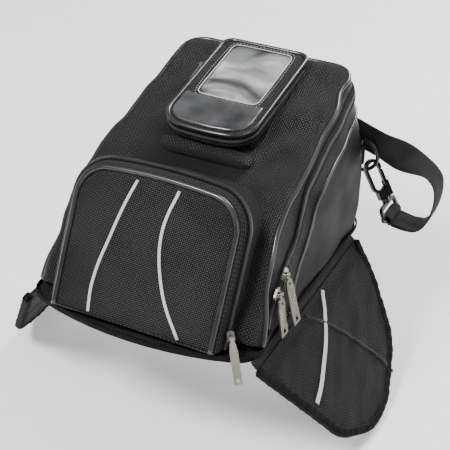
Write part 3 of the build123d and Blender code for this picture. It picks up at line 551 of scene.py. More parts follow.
# A darker copy of the nickel for the long pulls, painted shade in the recesses round their lighter studs.
shaded_nickel = moulded(
    "nickel_painted_shade", (0.10, 0.093, 0.08), (0.25, 0.235, 0.205), 0.42, 500.0, 0.08, metallic=0.9, spread=0.3
)
hard_plastic = moulded("moulded_plastic", grey(0.003, 0.0035), grey(0.007, 0.0075), 0.3, 600.0, 0.03, coat=0.15)
board = moulded("stiffener_board", grey(0.02), grey(0.035), 0.7, 300.0, 0.05)
thread = moulded("black_thread", grey(0.006), grey(0.02), 0.55, 2000.0, 0.02)
grey_thread = moulded("grey_thread", grey(0.3), grey(0.45, 0.44), 0.6, 2000.0, 0.02)


def clear_vinyl():
    """Clear window film: mostly see-through, hazy in places, with a wet shine over soft creases and painted glare,
    the crease tops coloured near white.
    """
    material, tree, shader = nodes_of("clear_vinyl", 0.08, coat=0.6)
    creases_and_glare = noise(tree, 15.0, 2.6, 1.4)
    haze = {"Value": noise(tree, 22.0), "From Min": 0.3, "From Max": 0.7, "To Min": 0.2, "To Max": 0.5}
    set_inputs(shader, {
        # Painted glare: the colour runs from dark grey to near white over the creases.
        "Base Color": ramp(creases_and_glare**2.0, (0.12, grey(0.07, 0.074)), (0.36, (0.9, 0.91, 0.92))),
        "Alpha": Value(add_node(tree, "MapRange", haze), "Result"),
        "Normal": bump(creases_and_glare, 7.0),
    })
    return material


vinyl = clear_vinyl()

# ---- main body

ZIP_GAP = 0.5
walls = {}
for side, sign in SIDES:
    zip_z = height_of(COLUMNS, zip_height, sign)
    top_z = edge_height(COLUMNS, sign)
    panel_z = np.maximum(height_of(COLUMNS, panel_height, sign), BASE_FLOOR)
    walls[side] = (sign, zip_z, top_z, panel_z)
    for name, low, high, count, material, body in (
        ("lid_gusset_cloth", zip_z + ZIP_GAP, top_z, 14, ballistic, "lid"),
        ("lower_gusset_cloth", panel_z, zip_z - ZIP_GAP, 14, ballistic, "base"),
        ("smooth_panel", np.full(len(COLUMNS), BASE_FLOOR), panel_z, 26, smooth_cloth, "base"),
    ):
        usable = high > low + 1
        columns, low, high = COLUMNS[usable], low[usable], high[usable]
        grid = [on_wall(columns, low + (high - low) * t, sign) for t in np.linspace(0, 1, count)]
        sheet_mesh(f"{side}_{name}", grid, material, body)

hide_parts("right_lid_gusset")
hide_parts("left_lid_gusset")
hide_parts("right_lower_gusset", "rear_panel")
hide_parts("left_lower_gusset")
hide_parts("right_side_panel")
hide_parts("left_side_panel")

# The top sheet runs up the front, over the shoulder and back to the crest
edges = {side: on_wall(COLUMNS, top_z, sign) for side, (sign, _, top_z, _) in walls.items()}
across_steps = np.sin(np.linspace(-1, 1, 61) * pi / 2)
PROBE = 0.5
rows = []
for a, b in zip(edges["left"][:EDGE_COLUMNS], edges["right"][:EDGE_COLUMNS]):
    y, z = (a[1] + b[1]) / 2, (a[2] + b[2]) / 2
    slope = np.array([
        0.0,
        profile_field(y + PROBE, z) - profile_field(y - PROBE, z),
        profile_field(y, z + PROBE) - profile_field(y, z - PROBE),
    ])
    slope /= np.linalg.norm(slope)
    chord = (a + b) / 2 + across_steps[:, None] * ((b - a) / 2)
    row = cast(chord - slope * 25, np.broadcast_to(slope, chord.shape), 60)
    row[0], row[-1] = a, b
    rows.append(row)
top_sheet = sheet_mesh("top_cloth", rows, ballistic, "lid")
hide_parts("top_panel", "lid_rear_band")

for side, (sign, zip_z, top_z, panel_z) in walls.items():
    edge = even(edges[side], 3)
    tube = swept(f"{side}_edge_piping", edge, ring_section(2.3), piping, "lid", up=(sign * 0.7, 0, 0.7))
    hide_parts(f"{side}_top_piping")
    usable = panel_z > BASE_FLOOR + 1
    seam = even(on_wall(COLUMNS[usable], panel_z[usable], sign), 3)
    tube = swept(f"{side}_seam_piping", seam, ring_section(2.0), piping, "base", up=(sign, 0, 0.1))
    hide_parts(f"{side}_panel_piping")


def zip_points(side, offset, lift):
    """Points along a side's main zip, offset up the wall and lifted off the cloth."""
    sign, zip_z, top_z, _ = walls[side]
    usable = (top_z > zip_z + 7.5) & (zip_z > 14)
    points = on_wall(COLUMNS[usable], zip_z[usable] + offset, sign)
    inner = np.column_stack([np.zeros(len(points)), np.minimum(points[:, 1], 110), points[:, 2]])
    return points + unit(points - inner) * lift


for name, body, low, high, node in (
    ("lid_zip_tape", "lid", 0.4, 7.0, "main_zip_upper"),
    ("base_zip_tape", "base", -7.0, -0.4, "main_zip_lower"),
):
    for side in walls:
        lifts = [(t, 0.5 + 1.5 * sin(pi * t * 0.9 + 0.15)) for t in (0, 0.25, 0.5, 0.75, 1)]
        grid = [zip_points(side, low + (high - low) * t, lift) for t, lift in lifts]
        sheet_mesh(f"{side}_{name}", grid, zip_tape, body, 1.0)
    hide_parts(node)

for side, (sign, *_) in walls.items():
    line = even(zip_points(side, 0.0, 0.9), 2.5)
    swept(f"{side}_zip_coil", line, ring_section(2.3, 10, 0.6), coil, "base", up=(sign, 0, 0.1))

# ---- plane helpers


def local_to_world(origin, ways, local):
    """Points of a sloping plane, as (across, up the plane, out of it), in the shared frame."""
    return np.asarray(origin, float) + np.asarray(local, float) @ np.asarray(ways, float)


def at_height(flat, height):
    """Points of a plane with a height, or a height each, as their third coordinate."""
    flat = np.asarray(flat, float)
    return np.concatenate([flat, np.broadcast_to(height, flat.shape[:-1])[..., None]], axis=-1)


def flat_wrinkle(flat, seed, wave):
    return wrinkle(at_height(flat, 0.0).reshape(-1, 3), seed, wave).reshape(flat.shape[:-1])


def arc(centre, radius, start, end, count, endpoint=True):
    angles = np.linspace(start, end, count, endpoint=endpoint)
    return [(centre[0] + radius * cos(a), centre[1] + radius * sin(a)) for a in angles]


def through(points, count=12):
    """A smooth course through a few points."""
    points = np.asarray(points, float)
    guides = np.vstack([2 * points[0] - points[1], points, 2 * points[-1] - points[-2]])
    course = []
    for i in range(len(points) - 1):
        a, b, c, d = guides[i : i + 4]
        for t in np.linspace(0, 1, count, endpoint=False):
            square, cube = 2 * a - 5 * b + 4 * c - d, 3 * b - a - 3 * c + d
            course.append(0.5 * (2 * b + (c - a) * t + square * t**2 + cube * t**3))
    course.append(points[-1])
    return np.array(course)


def rounded(corners, steps=12):
    """A closed outline from (point, radius) corners."""
    outline = []
    for i, (point, radius) in enumerate(corners):
        p = np.array(point, float)
        if radius <= 0:
            outline.append(p)
            continue
        a = np.array(corners[i - 1][0], float) - p
        b = np.array(corners[(i + 1) % len(corners)][0], float) - p
        la, lb = np.linalg.norm(a), np.linalg.norm(b)
        a, b = a / la, b / lb
        half_angle = acos(np.clip(a @ b, -1, 1)) / 2
        reach = min(radius / tan(half_angle), la * 0.49, lb * 0.49)
        for t in np.linspace(0, 1, steps):
            outline.append((1 - t) ** 2 * (p + a * reach) + 2 * t * (1 - t) * p + t**2 * (p + b * reach))
    return np.array(outline)


def edge_distance(points, outline):
    """How far each plane point is from a closed outline."""
    flat = points.reshape(-1, 2)
    best = np.full(len(flat), 1e9)
    for p, q in zip(outline, np.roll(outline, -1, axis=0)):
        way = q - p
        t = np.clip(((flat - p) @ way) / max(way @ way, 1e-9), 0, 1)
        best = np.minimum(best, np.linalg.norm(flat - p - t[:, None] * way, axis=1))
    return best.reshape(points.shape[:-1])


def reach_body(starts, way, furthest, first, step, inside):
    """How far from each start, going one way, the body's surface lies."""
    reach = np.full(len(starts), furthest)
    for t in np.arange(first, 0, -step):
        reach = np.where(body_field(starts + way * t) < -inside, t, reach)
    return reach


# ---- front pocket

POCKET_ORIGIN = (0, -160, 0)
POCKET_WAYS = ((1, 0, 0), (0, 0.4819, 0.8762), (0, -0.8762, 0.4819))
POCKET_OUT = POCKET_WAYS[2]
POCKET_CORNER = (50.0, 114.7)
POCKET_HALF, POCKET_RADIUS, POCKET_CREST, POCKET_SAG = 82, 32, 149, 6
POCKET_TURN = 0.085
POCKET_INSIDE = (0, -60, 40)
BELOW_FOOT = (0, -120, 90)


def pocket_world(local):
    return local_to_world(POCKET_ORIGIN, POCKET_WAYS, local)


def pocket_foot(depth):
    """How far up its own plane the pocket's foot lies, a depth behind its face."""
    return (9.4 + POCKET_WAYS[1][1] * depth) / POCKET_WAYS[1][2]


def pocket_outline(grow, foot):
    """The pocket's front outline from its left foot, over the arch, to its right foot."""
    half, radius, crest = POCKET_HALF + grow, POCKET_RADIUS + grow, POCKET_CREST + grow
    cx, cs = POCKET_CORNER
    left = [(-half, s) for s in np.linspace(foot, cs, 26, endpoint=False)]
    left += arc((-cx, cs), radius, pi, pi / 2 + POCKET_TURN, 14, endpoint=False)
    start = cx + radius * sin(POCKET_TURN)
    left += [(x, crest - POCKET_SAG * (x / POCKET_HALF) ** 2) for x in np.linspace(-start, 0, 14, endpoint=False)]
    return np.array(left + [(0, crest)] + [(-x, s) for x, s in left[::-1]])


def pocket_relief(flat):
    """How far the padded face stands out of its plane."""
    x, s = flat[..., 0], flat[..., 1]
    cx, cs = POCKET_CORNER
    beside = POCKET_HALF - np.abs(x)
    top = POCKET_CREST - POCKET_SAG * (x / POCKET_HALF) ** 2 - s
    corner_inset = POCKET_RADIUS - np.hypot(np.abs(x) - cx, s - cs)
    upper = np.where(np.abs(x) > cx, corner_inset, np.minimum(top, beside))
    inset = np.where(s > cs, upper, np.minimum(beside, np.maximum(top, 0)))
    swell = 4.2 * smooth_step(inset / 34) * smooth_step((s - 4) / 34)
    return swell + flat_wrinkle(flat, 21, 60) * 0.9 * smooth_step(inset / 12) - 0.6


def on_pocket(flat, lift):
    """Points of the pocket's padded face, lifted off it."""
    return pocket_world(at_height(flat, pocket_relief(flat) + lift))


def pocket_ring(grow, depth):
    """The pocket's outline, grown and set back behind its face."""
    return pocket_world(at_height(pocket_outline(grow, pocket_foot(depth)), -depth))


columns = pocket_outline(0, POCKET_CORNER[1])[25:-25]
levels = np.linspace(0, 1, 46)[:, None]
face_s = pocket_foot(0) + (columns[:, 1] - pocket_foot(0)) * levels
face = np.stack([np.broadcast_to(columns[:, 0], face_s.shape), face_s], axis=-1)
pocket_face = sheet_mesh(
    "pocket_face_cloth", on_pocket(face, 0.0), pocket_weave, "pocket_front", 2.2, centre=POCKET_INSIDE, uvs=face
)
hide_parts("pocket_cover")

rim = [pocket_ring(5.0 * t + 0.9 * sin(pi * t) - 0.3, 0.4 + 8.4 * t) for t in np.linspace(0, 1, 7)]
sheet_mesh("pocket_rim_cloth", rim, ballistic, "pocket_front", 1.6, centre=POCKET_INSIDE)

foot_x = np.linspace(-83, 83, 40)
foot_rows = []
for depth in (0.0, 4.5, 9.0):
    foot_rows.append(pocket_world(at_height(np.column_stack([foot_x, np.full(40, pocket_foot(depth))]), -depth)))
sheet_mesh("pocket_foot_cloth", foot_rows, ballistic, "pocket_front", 1.5, centre=BELOW_FOOT)

edge = pocket_world(at_height(pocket_outline(-2.2, pocket_foot(-1) + 1), 0.6))
tube = swept("pocket_edge_piping", edge, ring_section(2.3), piping, "pocket_front", up=POCKET_OUT)
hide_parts("pocket_piping")
line = on_pocket(pocket_outline(-7.5, pocket_foot(-1) + 2), 0.1)
stitches("pocket_face_stitches", line, POCKET_OUT, thread, "pocket_front")

for name, points in (
    ("left", [(-22, 140), (-34, 92), (-44, 46), (-44, 14)]),
    ("right", [(19, 140), (13, 98), (24, 54), (47, 14)]),
):
    line = on_pocket(through(points), 0.4)
    section = band_section(2.9, 0.9)
    strip = swept(f"pocket_{name}_reflective_strip", line, section, reflective, "pocket_front", up=POCKET_OUT)
    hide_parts(f"pocket_stripe_{name}")

tape = [pocket_ring(grow, depth) for depth, grow in ((8.6, 5.2), (9.3, 6.1), (10.6, 6.4), (11.9, 6.1), (13.2, 5.3))]
pocket_tape = sheet_mesh("pocket_zip_tape", tape, zip_tape, "lid", 1.0, centre=POCKET_INSIDE)
coil_path = pocket_world(at_height(pocket_outline(6.6, pocket_foot(10.6)), -10.4))
swept("pocket_zip_coil", even(coil_path, 2.5), ring_section(1.7, 8, 0.8), coil, "lid", up=POCKET_OUT)
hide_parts("pocket_zip")

start = pocket_ring(5.2, 12.6)
outside_way = pocket_ring(6.2, 12.6) - start
inward = -np.array(POCKET_OUT)
reach = reach_body(start, inward, 86.0, 84, 1.0, 3)[:, None]
gusset = []
for t in np.linspace(0, 1, 14):
    here = start + inward * reach * t
    arch = sin(pi * t)
    gusset.append(here + outside_way * (1.6 * arch**0.8 + wrinkle(here, 33, 40)[:, None] * 0.9 * arch**0.5))
gusset_cloth = sheet_mesh("pocket_gusset_cloth", gusset, ballistic, "lid", 1.8, centre=POCKET_INSIDE)
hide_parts("pocket_gusset")

floor_x = np.linspace(-86.5, 86.5, 40)
floor_rows = [np.column_stack([floor_x, np.full(40, y), np.full(40, 9.6)]) for y in np.linspace(-146, -112, 8)]
sheet_mesh("pocket_floor_cloth", floor_rows, ballistic, "lid", 1.6, centre=BELOW_FOOT)

# Soft cloth hinge that joins the lid's front edge to the base
hinge_x = np.linspace(-88, 88, 60)
hinge_rows = []
for t in np.linspace(0, 1, 7):
    hinge_y = -151.5 + 2.5 * sin(pi * t) + 0.6 * np.sin(hinge_x * 0.21 + 2 * t) + (hinge_x / 88) ** 2 * 6
    hinge_rows.append(np.column_stack([hinge_x, hinge_y, np.full(60, 2.6 + 7.2 * t)]))
hinge_cloth = sheet_mesh("front_hinge_cloth", hinge_rows, lining, None, 1.4, centre=(0, -60, 6))
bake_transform(hinge_cloth)

# ---- phone pocket

PHONE_ORIGIN = (0, -15, 139.9)
PHONE_WAYS = ((1, 0, 0), (0, 0.98585, 0.1676), (0, -0.1676, 0.98585))
PHONE_OUT = PHONE_WAYS[2]
PHONE_HALF, PHONE_LENGTH = 45, 143
FRONT_TURN, FRONT_RADIUS = (20, 26.1), 25
REAR_TURN, REAR_RADIUS = (35, 133), 10
WINDOW = (32.0, 50.0, 136.0)
WINDOW_MIDDLE = np.array([0, 93.0])


def phone_world(local):
    return local_to_world(PHONE_ORIGIN, PHONE_WAYS, local)


def phone_outline(grow):
    """The phone pocket's closed plan, from the middle of its bowed front round by the right."""
    front, rear = FRONT_RADIUS + grow, REAR_RADIUS + grow
    front_x = FRONT_TURN[0] + front * sin(0.1)
    half = [(x, 5 * (x / PHONE_HALF) ** 2 - grow) for x in np.linspace(0, front_x, 9, endpoint=False)]
    half += arc(FRONT_TURN, front, -pi / 2 + 0.1, 0, 12)
    half += [(PHONE_HALF + grow, v) for v in np.linspace(FRONT_TURN[1], REAR_TURN[1], 34)[1:-1]]
    half += arc(REAR_TURN, rear, 0, pi / 2, 9)
    half += [(x, PHONE_LENGTH + grow) for x in np.linspace(REAR_TURN[0], 0, 12)[1:]]
    return np.array(half + [(-x, v) for x, v in half[-2:0:-1]])


def phone_front(x, radius, bow):
    """The line of the phone pocket's front edge, or of one set inside it."""
    turn = np.sqrt(np.maximum(radius**2 - (np.abs(x) - FRONT_TURN[0]) ** 2, 0))
    return np.where(np.abs(x) > FRONT_TURN[0], FRONT_TURN[1] - turn, bow + 5 * (x / PHONE_HALF) ** 2)


PHONE_EDGE = phone_outline(0)


def phone_relief(flat):
    """How far the padded rim round the window, and the flat in front of it, stand up."""
    x, v = flat[..., 0], flat[..., 1]
    beside = np.maximum(np.abs(x) - WINDOW[0], np.maximum(WINDOW[1] - v, v - WINDOW[2]))
    rise = 1.9 * smooth_step(edge_distance(flat, PHONE_EDGE) / 9) * smooth_step((beside + 1) / 7)
    return rise + flat_wrinkle(flat, 41, 38) * 0.45 * smooth_step(beside / 10) - 0.2


def on_phone(flat, lift):
    """Points of the phone cover, lifted off it."""
    return phone_world(at_height(flat, phone_relief(flat) + lift))


def phone_ring(grow, height):
    return phone_world(at_height(phone_outline(grow), height))


def closed_band(name, rows, material, body, thickness=1.4):
    """A band of cloth right round the phone pocket."""
    rows = np.asarray(rows)
    across_band = np.linalg.norm(rows[:, 0] - rows[0, 0], axis=1)
    uvs = np.stack(np.meshgrid(across_band, run_of(rows[0]), indexing="ij")[::-1], axis=-1)
    faces = grid_faces(*rows.shape[:2], close_columns=True)
    return thicken(new_object(name, rows, faces, material, body, uvs), thickness, -1)


ways = PHONE_EDGE - WINDOW_MIDDLE
norm = ((np.abs(ways[:, 0]) / WINDOW[0]) ** 12 + (np.abs(ways[:, 1]) / 43) ** 12) ** (1 / 12)
window_edge = WINDOW_MIDDLE + ways / norm[:, None]
rings = window_edge + (PHONE_EDGE - window_edge) * np.linspace(0, 1, 16)[:, None, None]
faces = grid_faces(*rings.shape[:2], close_columns=True, flip=True)
cover = new_object("phone_cover_cloth", on_phone(rings, 0.0), faces, ballistic, "phone_lid", rings)
thicken(cover, 2.0)
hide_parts("phone_cover")

skirt = [phone_ring(grow, -depth) for grow, depth in ((-0.2, 0.6), (0.4, 2.2), (0.5, 3.8), (0.0, 5.1))]
closed_band("phone_skirt_cloth", skirt, ballistic, "phone_lid")
rim = even(phone_ring(0.1, -0.4), 2.5, True)
rim_tube = swept("phone_rim_piping", rim, ring_section(2.1), piping, "phone_lid", up=PHONE_OUT, closed=True)
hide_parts("phone_piping")
tape = [phone_ring(grow, -depth) for grow, depth in ((-0.3, 5.3), (0.5, 5.9), (0.7, 6.9), (0.5, 7.9), (-0.2, 8.7))]
phone_tape = closed_band("phone_zip_tape", tape, zip_tape, "lid", 0.9)
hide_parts("phone_zip")
coil_ring = phone_ring(1.0, -6.9)
coil_ring = coil_ring[coil_ring[:, 1] < 112]
order = np.argsort(np.arctan2(coil_ring[:, 0], 60 - coil_ring[:, 1]))
swept("phone_zip_coil", even(coil_ring[order], 2.5), ring_section(1.4, 8, 0.8), coil, "lid", up=PHONE_OUT)

# The tray's walls reach down to the body, except at the front, where they stop at a grip
top_ring = phone_ring(-0.2, -8.4)
down = -np.array(PHONE_OUT)
drop = reach_body(top_ring, down, 40.0, 39, 0.5, 2)
drop = np.where(PHONE_EDGE[:, 1] < 14, np.minimum(drop, 6.6), drop)[:, None]
aside = phone_ring(0.8, -8.4) - top_ring
wall_rows = []
for t in np.linspace(0, 1, 12):
    here = top_ring + down * drop * t
    wall_rows.append(here + aside * (1.6 + 0.8 * wrinkle(here, 52, 36)[:, None]) * sin(pi * t))
tray_wall = closed_band("phone_tray_cloth", wall_rows, ballistic, "lid", 1.6)
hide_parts("phone_tray")
under_x = np.linspace(-44, 44, 30)
under_front = phone_front(under_x, FRONT_RADIUS, 0)
under_rows = []
for t in np.linspace(0.02, 1, 7):
    under_v = under_front + (16 - np.minimum(under_front, 15)) * t
    under_rows.append(phone_world(at_height(np.column_stack([under_x, under_v]), -15.0)))
sheet_mesh("phone_tray_underside", under_rows, ballistic, "lid", 1.4, centre=(0, 0, 200))
step_line = np.column_stack([np.linspace(-43, 43, 24), np.full(24, 15.0)])
step_rows = [phone_world(at_height(step_line, -15.0 - 13 * t)) for t in np.linspace(0, 1, 5)]
sheet_mesh("phone_tray_step", step_rows, ballistic, "lid", 1.4, centre=(0, 60, 120))

xs, vs = np.meshgrid(np.linspace(-43, 43, 40), np.linspace(3, 141, 60))
sag = 0.7 * flat_wrinkle(np.stack([xs, vs], axis=-1), 61, 45) - 7.5
half_here = np.where(vs < 26, FRONT_TURN[0] + np.sqrt(np.maximum(23**2 - (26 - vs) ** 2, 0)), 43.0)
lining_points = phone_world(np.stack([xs / 43 * np.minimum(half_here, 43), vs, sag], axis=-1))
sheet_mesh("phone_tray_lining", lining_points, lining, "lid", 1.0, centre=(0, 60, 100))

OVER_PHONE = (0, 20, 100)
patch_x = np.linspace(-40.5, 40.5, 44)
patch_front = phone_front(patch_x, 20.8, 4.2)
patch = []
for t in np.linspace(0, 1, 20):
    flat = np.column_stack([patch_x, patch_front + (48.2 - patch_front) * t])
    edge_drop = 0.5 * smooth_step(1 - min(t, 1 - t) * 14)
    patch.append(at_height(flat, phone_relief(flat) + 0.9 - edge_drop))
patch = np.array(patch)
patch_cloth = sheet_mesh(
    "phone_front_patch", phone_world(patch), leatherette, "phone_lid", 0.9, centre=OVER_PHONE, uvs=patch[..., :2]
)
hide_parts("phone_patch")

xs, vs = np.meshgrid(np.linspace(-34, 34, 60), np.linspace(48.5, 138, 76))
flat = np.stack([xs, vs], axis=-1)
inner = smooth_step((34 - np.abs(xs)) / 8) * smooth_step((vs - 48.5) / 8) * smooth_step((138 - vs) / 8)
film_points = phone_world(at_height(flat, -0.9 + inner * (1.3 * flat_wrinkle(flat, 71, 30) - 0.6)))
film = sheet_mesh("phone_window_film", film_points, vinyl, "phone_lid", 0.5, centre=OVER_PHONE)
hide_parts("phone_window")
bead = even(phone_world(at_height(window_edge, 0.5)), 2.0, True)
swept("window_edge_bead", bead, ring_section(0.5), reflective, "phone_lid", up=PHONE_OUT, closed=True)
stitch_line = on_phone(window_edge + unit(window_edge - WINDOW_MIDDLE) * 3.4, 0.15)
stitches("window_stitches", stitch_line, PHONE_OUT, grey_thread, "phone_lid", closed=True)

# ---- grab strip


def soft_bar(name, centre, size, ways, material, body, seed):
    """A padded bar, rounded at its ends and slightly uneven."""
    length, width, height = size
    rings, uvs = [], []
    for t in np.linspace(-1, 1, 60):
        taper = max(1 - abs(t) ** 7, 0.02) ** 0.5
        section = band_section(width * (0.82 + 0.18 * taper) * taper**0.4, height * taper, 28)
        along = np.full(28, t * length / 2)
        rings.append(np.column_stack([along, section]))
        uvs.append(np.column_stack([along, np.linspace(0, 2 * (width + height), 28)]))
    local = np.array(rings)
    local[..., 2] += wrinkle(local.reshape(-1, 3), seed, 22).reshape(60, 28) * 0.5
    faces = grid_faces(60, 28, close_columns=True) + [face[::-1] for face in cap_faces(60, 28)]
    return new_object(name, local_to_world(centre, ways, local), faces, material, body, uvs)


TOP_WAYS = ((1, 0, 0), (0, 0.9565, 0.2916), (0, -0.2916, 0.9565))
strip_centre = local_to_world((3, -12, 112.2), TOP_WAYS, (0, 0, 5.2))
# The pad takes the lighter pocket weave, painted light that lifts it out of the shadow under the phone pocket.
strip = soft_bar("grab_strip_pad", strip_centre, (94, 16.5, 9.8), TOP_WAYS, pocket_weave, "lid", 81)
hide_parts("grab_strip")
for edge_name, offset in (("front", -4.6), ("back", 4.6)):
    line = [local_to_world(strip_centre, TOP_WAYS, (x, offset, 4.35)) for x in np.linspace(-40, 40, 30)]
    stitches(f"grab_strip_stitches_{edge_name}", line, TOP_WAYS[2], thread, "lid")

# ---- flaps


def pad_mesh(name, upper, lower, flat, material, body, flip=False, turned=False):
    """A closed pad between two grids that are rings out from a middle point."""
    rows, columns = flat.shape[:2]
    shift, last = rows * columns, (rows - 1) * columns
    faces = grid_faces(rows, columns, close_columns=True, flip=flip)
    faces += [tuple(v + shift for v in face[::-1]) for face in faces]
    for j in range(last, shift):
        k = last + (j + 1 - last) % columns
        faces.append((j, j + shift, k + shift, k) if turned else (j, k, k + shift, j + shift))
    return new_object(name, np.stack([upper, lower]), faces, material, body, np.stack([flat, flat]))


FLAP_CORNERS = [
    ((2, -144), 0), ((118, -88), 40), ((145, -42), 60), ((142, 0), 60), ((106, 61), 60), ((42, 84), 60), ((2, 88), 0),
]
FLAP_EDGE = rounded(FLAP_CORNERS)
FLAP_MIDDLE = np.array([58.0, -22.0])
FLAP_ROOT = (117.5, 0, -3)
FLAP_COSINE, FLAP_SINE = 0.5344, 0.8453
FLAP_STRIPE = [(6, -5), (20, -19), (33, -34), (44.5, -50), (55.5, -66.5), (64.7, -82), (71.3, -96.5)]
FLAP_SEAM = [(8, -47), (19, -37), (34, -23), (53, -9), (74, 4), (95, 17), (127, 31)]
FLAP_BEND = [(113.2, 1.6), (114.6, -0.4), (116.4, -1.9), (118.6, -4.4), (120.6, -8.0), (122.8, -11.4)]


def flap_world(local, sign):
    ways = ((FLAP_COSINE * sign, 0, -FLAP_SINE), (0, 1, 0), (FLAP_SINE * sign, 0, FLAP_COSINE))
    return local_to_world((FLAP_ROOT[0] * sign, *FLAP_ROOT[1:]), ways, local)


def flap_height(flat):
    """Half the flap's thickness, from its thin root to its padded middle, pinched at the binding."""
    distance = edge_distance(flat, FLAP_EDGE)
    root = smooth_step((flat[..., 0] - 8) / 12)
    crown = 1.5 + 1.5 * smooth_step(distance / 10) + 1.1 * smooth_step(distance / 45)
    ripple = flat_wrinkle(flat, 91, 34) * 0.55 * smooth_step(distance / 14)
    pucker = flat_wrinkle(flat, 92, 11) * 0.4 * np.exp(-np.abs(distance - 6) / 6)
    return 1.4 + (crown - 1.4 + ripple + pucker) * root


closed_edge = even(FLAP_EDGE, 3.2, True)
radii = np.concatenate([np.linspace(0, 0.86, 24), np.linspace(0.88, 0.995, 9)])
flap_flat = FLAP_MIDDLE + (closed_edge - FLAP_MIDDLE)[None] * radii[:, None, None]
half_thickness = flap_height(flap_flat)
free_edge = even(FLAP_EDGE, 3.0)
centre_pull = unit(FLAP_MIDDLE - free_edge)
steps = np.arange(len(free_edge))
tape_course = at_height(free_edge + centre_pull * 4.2, 0.35 * np.sin(steps * 1.9) + 0.25 * np.sin(steps * 0.77))
stitch_course = at_height(free_edge + centre_pull * 7.6, 3.35)
stripe_course, seam_course = through(FLAP_STRIPE), through(FLAP_SEAM)
stripe_line = at_height(stripe_course, flap_height(stripe_course) + 0.35)
seam_line = at_height(seam_course, flap_height(seam_course) + 0.2)
for side, sign in SIDES:
    body = f"{side}_flap"
    upper = flap_world(at_height(flap_flat, half_thickness), sign)
    lower = flap_world(at_height(flap_flat, half_thickness * -0.95), sign)
    pad = pad_mesh(f"{side}_flap_pad", upper, lower, flap_flat, shaded_flap_weave, body, flip=sign > 0)
    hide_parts(f"{side}_flap_shell", f"{side}_flap_backing")

    normal = flap_world((0, 0, 1), sign) - flap_world((0, 0, 0), sign)
    path = flap_world(tape_course, sign)
    tape = swept(f"{side}_flap_binding_tape", path, band_section(8.8, 7.6, 20), binding, body, up=normal)
    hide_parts(f"{side}_flap_binding")
    stitches(f"{side}_flap_stitches", flap_world(stitch_course, sign), normal, thread, body)
    path = flap_world(stripe_line, sign)
    band = swept(f"{side}_flap_reflective_strip", path, band_section(5.2, 1.2), reflective, body, up=normal)
    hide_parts(f"{side}_flap_stripe")
    swept(f"{side}_flap_seam_ridge", flap_world(seam_line, sign), band_section(3.4, 1.5), ballistic, body, up=normal)
    for edge_name, offset in (("low", -2.8), ("high", 2.8)):
        line = at_height(seam_course + [-0.6 * offset, 0.8 * offset], flap_height(seam_course) + 0.3)
        stitches(f"{side}_flap_seam_{edge_name}", flap_world(line, sign), normal, thread, body)

    ys = np.linspace(-140, 85, 70)
    bend_rows = [np.column_stack([np.full(70, x * sign), ys, z + 0.35 * np.sin(ys * 0.17 + x)]) for x, z in FLAP_BEND]
    bend = sheet_mesh(f"{side}_flap_hinge_cloth", bend_rows, ballistic, None, 1.8, centre=(0, 0, -20))
    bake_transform(bend)

# ---- base

BASE_SIDE, BASE_FRONT, BASE_REAR = 114, -140, 119.5
nose = [((x, -160 + 20 * (x / BASE_SIDE) ** 2), 0) for x in (78, 60, 40, 20, 0, -20, -40, -60, -78)]
right_corners = [((BASE_SIDE, BASE_REAR), 30), ((BASE_SIDE, BASE_FRONT), 40)]
left_corners = [((-BASE_SIDE, BASE_FRONT), 40), ((-BASE_SIDE, BASE_REAR), 30)]
BASE_EDGE = even(rounded(right_corners + nose + left_corners, 16), 4.0, True)
base_middle = np.array([0, -20.0])
radii = np.concatenate([np.linspace(0, 0.9, 22), np.linspace(0.92, 0.997, 6)])
base_flat = base_middle + (BASE_EDGE - base_middle)[None] * radii[:, None, None]
dents = flat_wrinkle(base_flat, 101, 70) * 0.25
upper, lower = at_height(base_flat, 2.7 + dents), at_height(base_flat, 0.15 + np.maximum(dents, 0) * 0.6)
base_pad = pad_mesh("base_cloth", upper, lower, base_flat, ballistic, "base", turned=True)
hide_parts("base_panel")
along = np.roll(BASE_EDGE, -1, axis=0) - np.roll(BASE_EDGE, 1, axis=0)
away = unit(np.column_stack([along[:, 1], -along[:, 0]]))
away *= np.sign(((BASE_EDGE - base_middle) * away).sum(axis=1))[:, None]
front_share = smooth_step((-112 - BASE_EDGE[:, 1]) / 22)
hem_height = 4.4 + 2.0 * front_share + 0.2 * np.sin(np.arange(len(BASE_EDGE)) * 1.7)
hem_path = at_height(BASE_EDGE + away * 1.05, hem_height / 2)
hem = swept("base_hem_tape", hem_path, band_section(1.7, 1.0, 20), binding, "base", closed=True, rise=hem_height)
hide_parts("base_binding")

# ---- strap

STRAP_WIDTH, STRAP_THICKNESS = 29.5, 2.3
STRAP_SIDES = 24


def spline_points(route, name):
    """Points read from the smooth line that a route's few points control, in millimetres."""
    curve = bpy.data.curves.new(name, "CURVE")
    curve.dimensions = "3D"
    curve.resolution_u = 12
    spline = curve.splines.new("NURBS")
    spline.points.add(len(route) - 1)
    for point, mark in zip(spline.points, route):
        point.co = (*[c * MM for c in mark], 1)
    spline.order_u = 3
    spline.use_endpoint_u = True
    carrier = bpy.data.objects.new(name, curve)
    mesh = bpy.data.meshes.new_from_object(carrier)
    points = np.array([tuple(v.co) for v in mesh.vertices]) / MM
    bpy.data.objects.remove(carrier)
    bpy.data.meshes.remove(mesh)
    return points


STRAP_ROUTE = [
    (-57, 154, 87), (-10, 154, 87), (40, 154, 87), (70, 154, 84), (100, 154, 73), (128, 154, 64), (154, 154, 57),
    (172, 153, 52), (182, 150, 40), (181, 148, 16), (172, 148, -8), (157, 148, -14), (139, 148, -10.6),
]
strap_line = spline_points(STRAP_ROUTE, "strap_route")
strap_run = run_of(strap_line)
